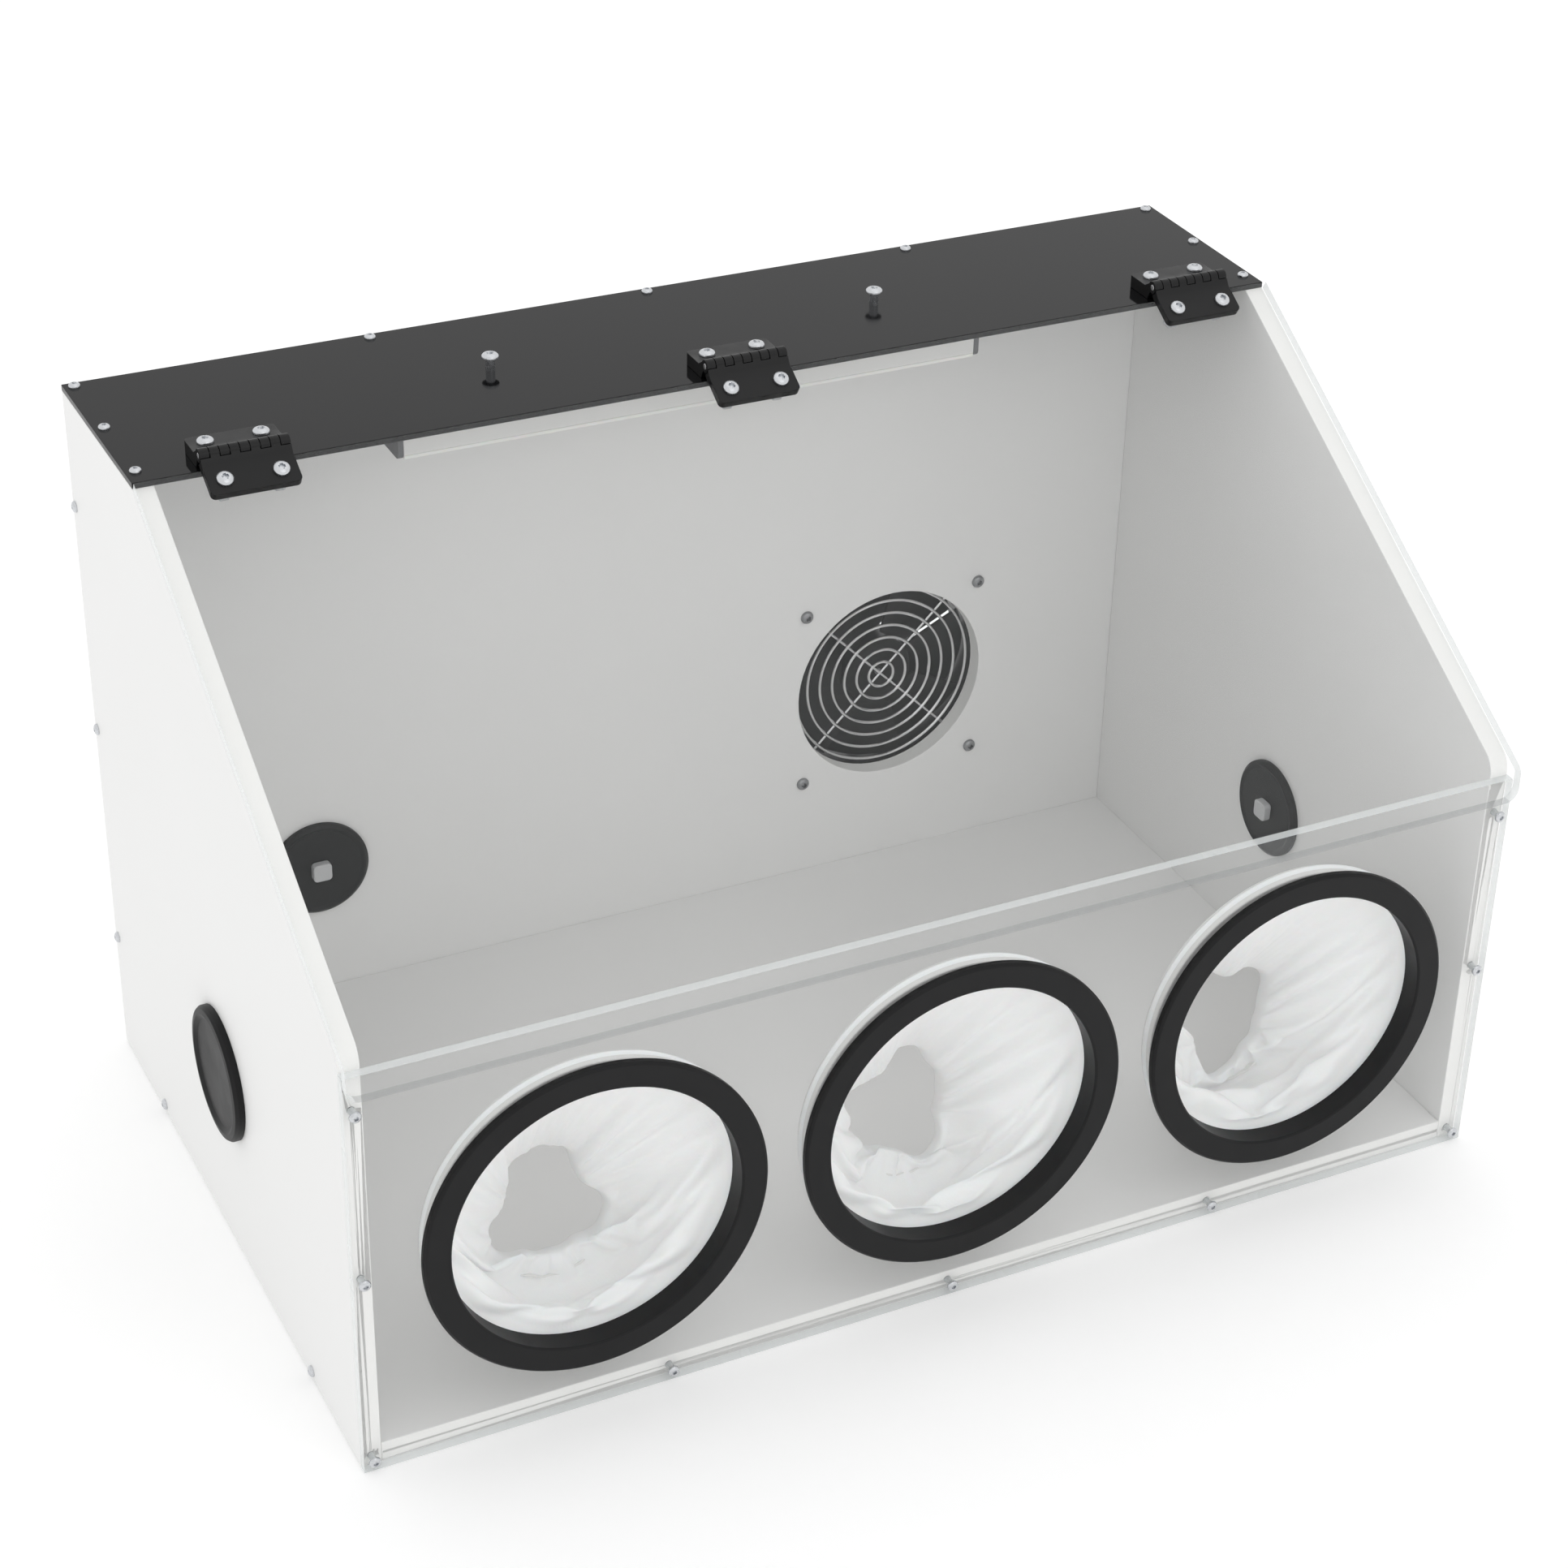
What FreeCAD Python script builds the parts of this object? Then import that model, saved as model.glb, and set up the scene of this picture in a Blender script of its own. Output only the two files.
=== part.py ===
import FreeCAD, Part
import math
import os
import re
import Sketcher

# Slanted-front dust and glove work box: a white board cabinet with a black top panel, a clear hinged
# lid, a clear front window with three sleeved arm ports, an extraction fan and three blanking covers.
# Frame: X runs along the width, Y from the front window to the back panel, Z up. The origin is the
# middle of the floor panel's underside.

V = FreeCAD.Vector
doc = FreeCAD.newDocument("WorkBox")

SIZES = {
    # cabinet
    "case_width": 590,
    "case_depth": 363,
    "case_height": 370,
    "shoulder_height": 220,
    "top_depth": 112.5,
    "board": 10,
    "window_thick": 5,
    "window_height": 215,
    "top_thick": 3,
    "shoulder_radius": 12,
    # lid
    "lid_thick": 5,
    "lid_gap": 0.3,
    "lip_drop": 17.5,
    "lip_corner": 7,
    "bend_radius": 6,
    # hinges
    "hinge_pitch": 246.5,
    "hinge_shift": 3,
    "hinge_width": 42,
    "leaf_reach": 22,
    "leaf_root": 7,
    "leaf_thick": 4,
    "top_leaf_thick": 6.5,
    "leaf_corner": 2.5,
    "barrel_radius": 3.3,
    "barrel_gap": 0.5,
    "finger_gap": 0.3,
    "pin_radius": 1.5,
    "pin_clearance": 0.05,
    "hinge_bolt_pitch": 26,
    "hinge_bolt_reach": 14.5,
    # arm ports, sleeves and cuffs
    "port_pitch": 182.5,
    "port_height": 107.5,
    "port_bore": 138,
    "collar_outer": 164,
    "collar_thick": 4,
    "collar_bevel": 1.2,
    "bore_bevel": 0.8,
    "spigot_wall": 2,
    "spigot_proud": 2.5,
    "clamp_wall": 5.5,
    "clamp_length": 8,
    "fabric": 1.2,
    "fit_gap": 0.1,
    "sleeve_length": 63,
    "sleeve_drop": 40,
    "cuff_tilt": 20,
    "cuff_radius": 32,
    "cuff_length": 10,
    "elastic_wall": 1.6,
    "elastic_inset": 2,
    # extraction fan
    "fan_shift": 143.7,
    "fan_height": 119,
    "fan_side": 120,
    "fan_depth": 25,
    "fan_flange": 4,
    "fan_corner": 6,
    "fan_bore": 116,
    "fan_wall": 2.5,
    "fan_hole_pitch": 105,
    "vent_hole": 112,
    "hub_radius": 20,
    "hub_wall": 1.5,
    "cup_start": 1.5,
    "cup_back": 4,
    "blade_start": 3,
    "blade_depth": 14,
    "blade_thick": 1.6,
    "blade_gap": 1.5,
    "strut_thick": 3,
    "strut_width": 5,
    "tube_start": 8,
    "tube_back": 1,
    "stator_start": 9,
    "stator_back": 6,
    "stator_gap": 2,
    "shaft_radius": 2,
    "shaft_clearance": 0.05,
    "bearing_wall": 2.5,
    "wire": 1.8,
    "wire_pitch": 7.6,
    # lamp bar
    "lamp_length": 310,
    "lamp_width": 30,
    "lamp_height": 28,
    "lamp_shift": -4,
    "lamp_setback": 61.5,
    "lamp_bolt_pitch": 204,
    "lamp_bolt_rise": 6.5,
    "lamp_wall": 1.6,
    "lamp_cap": 3,
    "diffuser_thick": 2,
    "led_board_thick": 1.6,
    # blanking covers
    "cover_hole": 45,
    "cover_outer_radius": 33,
    "cover_inner_radius": 26.5,
    "cover_thick": 5,
    "cover_boss": 8,
    "side_cover_back": 183,
    "side_cover_height": 100,
    "back_cover_shift": 189,
    "back_cover_height": 85,
    "knob_side": 10,
    # board screws
    "screw_radius": 1.5,
    "screw_head_radius": 2.8,
    "screw_head": 2,
    "screw_length": 16,
    "side_screw_length": 25,
    "screw_inset": 4.5,
    "screw_row_pitch": 145.5,
    "top_screw_pitch": 48.5,
    "window_screw_low": 5,
    "window_screw_middle": 105.5,
    "window_screw_high": 195,
    "side_screw_low": 67,
    "side_screw_middle": 190,
    "side_screw_high": 312,
    "floor_screw_front": 69,
    "floor_screw_back": 293,
    # machine bolts and nuts
    "bolt_radius": 2,
    "bolt_head_radius": 4,
    "bolt_head": 2.6,
    "nut_flat_radius": 3.5,
    "nut_thick": 3.2,
    "thread_proud": 1.5,
    "pilot_spare": 0.5,
    "hole_clearance": 0.1,
}

DERIVED = {
    "half_width": "case_width / 2",
    "half_depth": "case_depth / 2",
    "slope": "(case_height - shoulder_height) / (case_depth - top_depth)",
    "slope_cos": "1 / sqrt(1 + slope * slope)",
    "slope_sin": "slope * slope_cos",
    "slope_degrees": "atan(slope) / 1 deg",
    # hinge axis: above the top panel's front edge, one barrel and a gap clear of the lid
    "lid_below": "barrel_radius + barrel_gap",
    "axis_y": "half_depth - top_depth",
    "axis_rise": "(lid_below + lid_thick + lid_gap) / slope_cos - top_thick",
    "axis_z": "case_height + top_thick + axis_rise",
    "lid_end": "((lid_below + lid_thick) * slope_sin + barrel_gap) / slope_cos",
    "finger_pitch": "hinge_width / 9",
    # arm ports
    "spigot_radius": "port_bore / 2 + spigot_wall",
    "clamp_inner": "spigot_radius + fabric + 2 * fit_gap",
    "clamp_outer": "clamp_inner + clamp_wall",
    "window_back": "window_thick - half_depth",
    # fan, behind the back panel
    "guard_thick": "2 * wire - wire / 4",
    "fan_front": "half_depth + guard_thick",
    "fan_back": "fan_front + fan_depth",
    "bearing_radius": "shaft_radius + shaft_clearance + bearing_wall",
    # lamp bar, under the top panel
    "lamp_y": "half_depth - lamp_setback",
    "lamp_bottom": "case_height - lamp_height",
    "hole_radius": "bolt_radius + hole_clearance",
    "pilot_radius": "screw_radius + hole_clearance",
}

ORIGIN = ("0", "0", "0")
TURNS = {
    "z": FreeCAD.Rotation(),
    "-z": FreeCAD.Rotation(V(1, 0, 0), 180),
    "x": FreeCAD.Rotation(V(0, 1, 0), 90),
    "-x": FreeCAD.Rotation(V(0, 1, 0), -90),
    "y": FreeCAD.Rotation(V(1, 0, 0), -90),
    "-y": FreeCAD.Rotation(V(1, 0, 0), 90),
}
SIDES = {"left": "-1", "right": "1"}
PLACES = {"left": "-1", "middle": "0", "right": "1"}
FINGERS = 9
BLADES = 7
BLADE_TURNS = ((0.0, 27), (0.5, 17), (1.0, 12.5))
GUARD_RINGS = 7
SLEEVE_STEPS = ((0.3, 0.22), (0.62, 0.6))
NODES = []


# ---- the sheets and the small helpers -------------------------------------------------------------

def fill_sheet(name, cells):
    """A sheet with one aliased cell for each entry."""
    sheet = doc.addObject("Spreadsheet::Sheet", name)
    for row, (alias, content) in enumerate(cells.items(), start=1):
        sheet.set(f"A{row}", alias)
        sheet.set(f"B{row}", str(content))
        sheet.setAlias(f"B{row}", alias)
    doc.recompute()
    return sheet


def expr(text):
    """The expression with each size's alias prefixed by the sheet that holds it."""
    def prefixed(match):
        word = match.group(0)
        if word in SIZES:
            return f"Sizes.{word}"
        return f"Derived.{word}" if word in DERIVED else word
    return re.sub(r"[a-z_]+", prefixed, str(text))


def value(alias):
    """The number that a size or a worked-out value has now."""
    sheet = sizes if alias in SIZES else derived
    return float(sheet.get(alias))


def bind(item, properties):
    """Bind each named property to its expression."""
    for name, text in properties.items():
        item.setExpression(name, expr(text))
    return item


def put(item, spot=ORIGIN, turn="z"):
    """Place an item at a spot given as expressions, with its own Z turned along a direction."""
    item.Placement = FreeCAD.Placement(V(), TURNS[turn])
    return bind(item, {f"Placement.Base.{axis}": text for axis, text in zip("xyz", spot)})


def put_on_lid(item):
    """Carry an item from the lid's frame (X on the hinge axis, Y up the slope) to its place."""
    put(item, ("0", "axis_y", "axis_z"))
    item.Placement.Rotation = FreeCAD.Rotation(V(1, 0, 0), 30)
    return bind(item, {"Placement.Rotation.Angle": "slope_degrees"})


def cylinder(radius, length, spot=ORIGIN, turn="z"):
    """A cylinder that starts at a spot and runs along a direction."""
    item = doc.addObject("Part::Cylinder", "Cylinder")
    bind(item, {"Radius": radius, "Height": length})
    return put(item, spot, turn)


def box(length, width, height, spot=ORIGIN):
    """A box from its lowest corner."""
    item = doc.addObject("Part::Box", "Box")
    bind(item, {"Length": length, "Width": width, "Height": height})
    return put(item, spot)


def group(items):
    """Separate solids kept together as one object."""
    item = doc.addObject("Part::Compound", "Group")
    item.Links = items
    return item


def cut(base, tool):
    """The base with the tool's volume taken away."""
    item = doc.addObject("Part::Cut", "Cut")
    item.Base = base
    item.Tool = tool
    return item


def fuse(items):
    """One solid made of several that overlap."""
    item = doc.addObject("Part::MultiFuse", "Fusion")
    item.Shapes = items
    return item


def node(label, item):
    """Name a finished sub-part and list it for writing."""
    item.Label = label
    NODES.append(item)
    return item


def origin_feature(body, role):
    """One of the body's own origin planes or axes."""
    return next(f for f in body.Origin.OriginFeatures if f.Role == role)


def new_body(name):
    """An empty body."""
    return doc.addObject("PartDesign::Body", name)


def new_sketch(body, role, offset="0"):
    """A sketch on one of the body's origin planes, moved along the plane's normal."""
    sketch = body.newObject("Sketcher::SketchObject", "Sketch")
    sketch.AttachmentSupport = (origin_feature(body, role), [""])
    sketch.MapMode = "FlatFace"
    return bind(sketch, {"AttachmentOffset.Base.z": offset})


def pin_point(sketch, geometry, point, spot):
    """Hold a sketch point at a place given as two expressions."""
    for kind, text in zip(("DistanceX", "DistanceY"), spot):
        index = sketch.addConstraint(Sketcher.Constraint(kind, -1, 1, geometry, point, 1.0))
        bind(sketch, {f"Constraints[{index}]": text})


def outline(sketch, points):
    """A closed outline of straight lines through points given as pairs of expressions."""
    count = len(points)
    first = sketch.GeometryCount
    for start in range(count):
        end = (start + 1) % count
        line = Part.LineSegment(V(start, start * start, 0), V(end, end * end, 0))
        sketch.addGeometry(line)
    for start in range(count):
        end = (start + 1) % count
        sketch.addConstraint(Sketcher.Constraint("Coincident", first + start, 2, first + end, 1))
    for index, spot in enumerate(points):
        pin_point(sketch, first + index, 1, spot)


def circles(sketch, radius, spots):
    """One circle of the same radius at each spot."""
    for spot in spots:
        index = sketch.addGeometry(Part.Circle(V(), V(0, 0, 1), 1.0))
        pin_point(sketch, index, 3, spot)
        rim = sketch.addConstraint(Sketcher.Constraint("Radius", index, 1.0))
        bind(sketch, {f"Constraints[{rim}]": radius})


def rectangle(low_x, low_y, high_x, high_y):
    """The four corners of a rectangle."""
    return [(low_x, low_y), (high_x, low_y), (high_x, high_y), (low_x, high_y)]


def pad(body, sketch, length, middle=False):
    """Push a sketch out into a solid."""
    doc.recompute()
    feature = body.newObject("PartDesign::Pad", "Pad")
    feature.Profile = sketch
    feature.Midplane = middle
    bind(feature, {"Length": length})
    doc.recompute()
    return feature


def fillet(body, radius, chosen):
    """Round the edges that the test chooses."""
    tip = body.Tip
    names = [f"Edge{i}" for i, edge in enumerate(tip.Shape.Edges, start=1) if chosen(edge)]
    feature = body.newObject("PartDesign::Fillet", "Fillet")
    feature.Base = (tip, names)
    bind(feature, {"Radius": radius})
    doc.recompute()
    return feature


def revolve(name, points):
    """A body turned about its own Z from an outline of (radius, height) pairs."""
    body = new_body(name)
    sketch = new_sketch(body, "XZ_Plane")
    outline(sketch, points)
    doc.recompute()
    feature = body.newObject("PartDesign::Revolution", "Revolution")
    feature.Profile = sketch
    feature.ReferenceAxis = (origin_feature(body, "Z_Axis"), [""])
    feature.Angle = 360
    doc.recompute()
    return body


def along(edge, axis):
    """True for a straight edge that runs along an axis."""
    if edge.Curve.TypeId != "Part::GeomLine":
        return False
    return abs(edge.tangentAt(edge.FirstParameter).dot(axis)) > 0.999


def link(item, spot, turn="z"):
    """A copy of an item at a spot."""
    copy = doc.addObject("App::Link", "Link")
    copy.LinkedObject = item
    return put(copy, spot, turn)


def copies(item, spots, turn="z"):
    """Copies of an item at each spot, as one group of separate solids."""
    return group([link(item, spot, turn) for spot in spots])


def drill(base, radius, length, spots, turn):
    """The base with a round hole started at each spot."""
    return cut(base, group([cylinder(radius, length, spot, turn) for spot in spots]))


# ---- fasteners --------------------------------------------------------------------------------------

def pan_screw(name, shank, length, head_radius, head):
    """A pan-head screw, head up, its shank going down from the head's seat at the origin."""
    return revolve(name, [
        ("0", f"-({length})"),
        (f"{shank} * 0.6", f"-({length})"),
        (shank, f"{shank} * 0.8 - ({length})"),
        (shank, "0"),
        (head_radius, "0"),
        (head_radius, f"{head} * 0.45"),
        (f"{head_radius} * 0.72", f"{head} * 0.9"),
        (f"{head_radius} * 0.3", head),
        ("0", head),
    ])


def hex_nut():
    """A hexagon nut that stands on the origin."""
    body = new_body("HexNut")
    sketch = new_sketch(body, "XY_Plane")
    corner = "nut_flat_radius * 2 / sqrt(3)"
    outline(sketch, [
        (f"{corner} * {round(math.cos(math.radians(angle)), 6)}",
         f"{corner} * {round(math.sin(math.radians(angle)), 6)}")
        for angle in range(0, 360, 60)
    ])
    circles(sketch, "hole_radius", [("0", "0")])
    pad(body, sketch, "nut_thick")
    return body


def top_screw_spots():
    """Seats of the screws that hold the top panel: two side columns and the back row."""
    back = "half_depth - screw_inset"
    height = "case_height + top_thick"
    columns = [(f"{side} * (half_width - board / 2)", f"{back} - {step} * top_screw_pitch", height)
               for side in SIDES.values() for step in range(3)]
    return columns + [(f"{step} * screw_row_pitch", back, height) for step in (-1, 0, 1)]


def window_screw_spots():
    """Seats of the screws that hold the front window: two side columns and the bottom row."""
    heights = ("window_screw_low", "window_screw_middle", "window_screw_high")
    columns = [(f"{side} * (half_width - board / 2)", "-half_depth", height)
               for side in SIDES.values() for height in heights]
    row = [(f"{step} * screw_row_pitch", "-half_depth", "window_screw_low") for step in (-1, 0, 1)]
    return columns + row


def side_screw_spots(side):
    """Seats of the screws that go through one side panel into the back and floor panels."""
    face = f"{side} * half_width"
    heights = ("side_screw_low", "side_screw_middle", "side_screw_high")
    upright = [(face, "half_depth - board / 2", height) for height in heights]
    low = [(face, f"{place} - half_depth", "board / 2")
           for place in ("floor_screw_front", "floor_screw_back")]
    return upright + low


def hinge_bolt_spots(face, reach):
    """Seats of the hinge bolts on a face, at a reach from the hinge axis."""
    return [(f"hinge_shift + {place} * hinge_pitch + {side} * hinge_bolt_pitch / 2", reach, face)
            for place in PLACES.values() for side in SIDES.values()]


def lamp_bolt_spots(height):
    """Centres of the two lamp bolts at a height."""
    return [(f"lamp_shift + {side} * lamp_bolt_pitch / 2", "lamp_y", height)
            for side in SIDES.values()]


def fan_bolt_spots(depth):
    """Centres of the four fan bolts at a depth."""
    return [(f"fan_shift + {across} * fan_hole_pitch / 2", depth,
             f"fan_height + {up} * fan_hole_pitch / 2")
            for across in SIDES.values() for up in SIDES.values()]


def make_board_screws():
    """The four groups of small screws that hold the boards, the top and the window."""
    short = pan_screw("BoardScrew", "screw_radius", "screw_length", "screw_head_radius", "screw_head")
    long = pan_screw("SideScrew", "screw_radius", "side_screw_length", "screw_head_radius",
                     "screw_head")
    node("top_panel_screws", copies(short, top_screw_spots()))
    node("front_window_screws", copies(short, window_screw_spots(), "-y"))
    node("left_side_screws", copies(long, side_screw_spots("-1"), "-x"))
    node("right_side_screws", copies(long, side_screw_spots("1"), "x"))


# ---- cabinet ----------------------------------------------------------------------------------------

def make_side_panel(name, side):
    """A side board: its front is vertical under the slope's rounded shoulder."""
    front = "window_back"
    body = new_body(f"{name}Side")
    sketch = new_sketch(body, "YZ_Plane")
    outline(sketch, [
        (front, "0"),
        ("half_depth", "0"),
        ("half_depth", "case_height"),
        ("axis_y", "case_height"),
        (front, "shoulder_height + slope * window_thick"),
    ])
    circles(sketch, "cover_hole / 2", [("half_depth - side_cover_back", "side_cover_height")])
    circles(sketch, "pilot_radius", [spot[1:] for spot in side_screw_spots(side)])
    pad(body, sketch, "board")
    shoulder = value("shoulder_height") / 2

    def at_shoulder(edge):
        middle = edge.CenterOfMass
        return along(edge, V(1, 0, 0)) and middle.y < value("window_back") + 1 and middle.z > shoulder
    fillet(body, "shoulder_radius", at_shoulder)
    put(body, (f"{side} * (half_width - board / 2) - board / 2", "0", "0"))
    mine = f"{side} * (half_width - board / 2)"
    depth = "screw_length + pilot_spare"
    top = [(x, y, "case_height") for x, y, z in top_screw_spots() if x == mine]
    front_holes = [(x, front, z) for x, y, z in window_screw_spots() if x == mine]
    drilled = drill(body, "pilot_radius", f"{depth} - top_thick", top, "-z")
    drilled = drill(drilled, "pilot_radius", f"{depth} - window_thick", front_holes, "y")
    node(f"{name}_side_panel", drilled)


def make_back_panel():
    """The back board, between the sides, with the fan's vent, its bolt holes and a cover's hole."""
    body = new_body("Back")
    sketch = new_sketch(body, "XZ_Plane")
    inside = "half_width - board"
    outline(sketch, rectangle(f"-({inside})", "0", inside, "case_height"))
    circles(sketch, "vent_hole / 2", [("fan_shift", "fan_height")])
    circles(sketch, "cover_hole / 2", [("-back_cover_shift", "back_cover_height")])
    circles(sketch, "hole_radius", [(x, z) for x, y, z in fan_bolt_spots("0")])
    pad(body, sketch, "board")
    put(body, ("0", "half_depth", "0"))
    row = [(x, y, "case_height") for x, y, z in top_screw_spots()[6:]]
    drilled = drill(body, "pilot_radius", "screw_length + pilot_spare - top_thick", row, "-z")
    for side, turn in (("-1", "x"), ("1", "-x")):
        holes = [(f"{side} * ({inside})", y, z) for x, y, z in side_screw_spots(side)[:3]]
        drilled = drill(drilled, "pilot_radius", "side_screw_length + pilot_spare - board", holes, turn)
    node("back_panel", drilled)


def make_floor_panel():
    """The floor board, between the sides, from the front window to the back panel."""
    inside = "half_width - board"
    body = new_body("Floor")
    sketch = new_sketch(body, "XY_Plane")
    outline(sketch, rectangle(f"-({inside})", "window_back", inside, "half_depth - board"))
    pad(body, sketch, "board")
    row = [(x, "window_back", z) for x, y, z in window_screw_spots()[6:]]
    drilled = drill(body, "pilot_radius", "screw_length + pilot_spare - window_thick", row, "y")
    for side, turn in (("-1", "x"), ("1", "-x")):
        holes = [(f"{side} * ({inside})", y, z) for x, y, z in side_screw_spots(side)[3:]]
        drilled = drill(drilled, "pilot_radius", "side_screw_length + pilot_spare - board", holes, turn)
    node("floor_panel", drilled)


def make_top_panel():
    """The thin black top panel, with its screw holes, hinge bolt holes and lamp bolt holes."""
    body = new_body("Top")
    sketch = new_sketch(body, "XY_Plane", "case_height")
    outline(sketch, rectangle("-half_width", "axis_y", "half_width", "half_depth"))
    circles(sketch, "pilot_radius", [spot[:2] for spot in top_screw_spots()])
    circles(sketch, "hole_radius",
            [spot[:2] for spot in hinge_bolt_spots("0", "axis_y + hinge_bolt_reach")])
    circles(sketch, "hole_radius", [spot[:2] for spot in lamp_bolt_spots("0")])
    pad(body, sketch, "top_thick")
    node("top_panel", body)


def make_front_window():
    """The clear front window, screwed to the boards' edges, with three arm port holes."""
    body = new_body("Window")
    sketch = new_sketch(body, "XZ_Plane")
    outline(sketch, rectangle("-half_width", "0", "half_width", "window_height"))
    circles(sketch, "spigot_radius + fit_gap",
            [(f"{place} * port_pitch", "port_height") for place in PLACES.values()])
    circles(sketch, "pilot_radius", [(x, z) for x, y, z in window_screw_spots()])
    pad(body, sketch, "window_thick")
    put(body, ("0", "window_back", "0"))
    node("front_window", body)


# ---- lid and hinges ---------------------------------------------------------------------------------

def slope_height(y, lift):
    """Height of a line parallel to the slope, lifted square to it, at a depth."""
    return f"shoulder_height + slope * ({y} + half_depth) + ({lift}) / slope_cos"


def lid_point(s, p):
    """A point of the lid's frame as depth and height: s up the slope, p square to it."""
    return (f"axis_y + ({s}) * slope_cos - ({p}) * slope_sin",
            f"axis_z + ({s}) * slope_sin + ({p}) * slope_cos")


def make_lid_window():
    """The clear lid: a flat sheet with its front edge bent down as a lip over the front window."""
    inner = "-half_depth - lid_gap"
    outer = f"{inner} - lid_thick"
    skin = "lid_gap + lid_thick"
    body = new_body("Lid")
    sketch = new_sketch(body, "YZ_Plane")
    lip = f"{slope_height(outer, skin)} - lip_drop"
    outline(sketch, [
        (outer, lip),
        (inner, lip),
        (inner, slope_height(inner, "lid_gap")),
        lid_point("-lid_end", "-lid_below - lid_thick"),
        lid_point("-lid_end", "-lid_below"),
        (outer, slope_height(outer, skin)),
    ])
    pad(body, sketch, "case_width", middle=True)
    front = value("window_back") - value("window_thick") - value("lid_gap")
    bend = value("shoulder_height") - value("lip_drop") / 2

    def outer_bend(edge):
        middle = edge.CenterOfMass
        return along(edge, V(1, 0, 0)) and middle.y < front - 1 and middle.z > bend

    def inner_bend(edge):
        middle = edge.CenterOfMass
        return along(edge, V(1, 0, 0)) and abs(middle.y - front) < 0.1 and middle.z > bend

    def lip_corner(edge):
        return along(edge, V(0, 1, 0)) and edge.CenterOfMass.z < bend
    fillet(body, "bend_radius", outer_bend)
    fillet(body, "bend_radius / 3", inner_bend)
    fillet(body, "lip_corner", lip_corner)
    seats = hinge_bolt_spots("-lid_below + 1", "-hinge_bolt_reach")
    tools = group([cylinder("hole_radius", "lid_thick + 2", spot, "-z") for spot in seats])
    node("lid_window", cut(body, put_on_lid(tools)))


def hinge_leaf(name, toward, below, thick, first_finger, turning):
    """A moulded leaf in the hinge's frame, its fingers alternating with the other leaf's.

    toward is the side that the leaf lies on, below its seat's depth under the axis, thick its
    plate's thickness, first_finger the leaf's first finger, and turning is true for the leaf that
    turns on the pin.
    """
    body = new_body(name)
    sketch = new_sketch(body, "YZ_Plane")
    upper = f"{thick} - ({below})"
    under = f"-({below})"
    heel = "barrel_radius + barrel_gap"
    outline(sketch, [
        ("0", "barrel_radius"),
        (f"{toward} * leaf_root", upper),
        (f"{toward} * leaf_reach", upper),
        (f"{toward} * leaf_reach", under),
        (f"{toward} * ({heel})", under),
        ("0", "0"),
    ])
    pad(body, sketch, "hinge_width", middle=True)
    reach = value("leaf_reach")

    def far_corner(edge):
        return along(edge, V(0, 0, 1)) and abs(edge.CenterOfMass.y) > reach - 0.1
    fillet(body, "leaf_corner", far_corner)
    barrel = cylinder("barrel_radius", "hinge_width", ("-hinge_width / 2", "0", "0"), "x")
    slots = []
    for finger in range(FINGERS):
        if finger % 2 != first_finger:
            start = f"({finger} - {FINGERS / 2}) * finger_pitch - finger_gap / 2"
            width = "finger_pitch + finger_gap"
            slots.append(cylinder("barrel_radius + barrel_gap * 0.8", width, (start, "0", "0"), "x"))
    bore_radius = "pin_radius + pin_clearance" if turning else "pin_radius"
    bore = cylinder(bore_radius, "hinge_width + 2", ("-hinge_width / 2 - 1", "0", "0"), "x")
    bolts = [cylinder("hole_radius", f"{thick} + 2",
                      (f"{side} * hinge_bolt_pitch / 2", f"{toward} * hinge_bolt_reach",
                       f"{under} - 1")) for side in SIDES.values()]
    return cut(fuse([body, barrel]), group(slots + [bore] + bolts))


def make_hinges():
    """Three hinges: fixed leaf on the top panel, moving leaf on the lid, and the pins."""
    fixed = hinge_leaf("FixedLeaf", "1", "axis_rise", "top_leaf_thick", 0, False)
    moving = hinge_leaf("MovingLeaf", "-1", "lid_below", "leaf_thick", 1, True)
    pin = cylinder("pin_radius", "hinge_width", ("-hinge_width / 2", "0", "0"), "x")
    pins = []
    for place, step in PLACES.items():
        spot = (f"hinge_shift + {step} * hinge_pitch", "axis_y", "axis_z")
        node(f"hinge_fixed_leaf_{place}", group([link(fixed, spot)]))
        leaf = group([link(moving, (spot[0], "0", "0"))])
        node(f"hinge_moving_leaf_{place}", put_on_lid(leaf))
        pins.append(link(group([pin]), spot))
    node("hinge_pins", group(pins))


def make_hinge_bolts():
    """Bolts through the leaves, with nuts under the top panel and under the lid."""
    nut = hex_nut()
    length = "top_leaf_thick + top_thick + nut_thick + thread_proud"
    bolt = pan_screw("HingeBolt", "bolt_radius", length, "bolt_head_radius", "bolt_head")
    lid_length = "leaf_thick + lid_thick + nut_thick + thread_proud"
    lid_bolt = pan_screw("LidBolt", "bolt_radius", lid_length, "bolt_head_radius", "bolt_head")
    reach = "axis_y + hinge_bolt_reach"
    top_seats = hinge_bolt_spots("case_height + top_thick + top_leaf_thick", reach)
    node("hinge_top_bolts", copies(bolt, top_seats))
    node("hinge_top_nuts", copies(nut, hinge_bolt_spots("case_height", reach), "-z"))
    lid_seats = hinge_bolt_spots("leaf_thick - lid_below", "-hinge_bolt_reach")
    node("hinge_lid_bolts", put_on_lid(copies(lid_bolt, lid_seats)))
    lid_nuts = hinge_bolt_spots("-lid_below - lid_thick", "-hinge_bolt_reach")
    node("hinge_lid_nuts", put_on_lid(copies(nut, lid_nuts, "-z")))
    return nut


# ---- arm ports --------------------------------------------------------------------------------------

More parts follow.
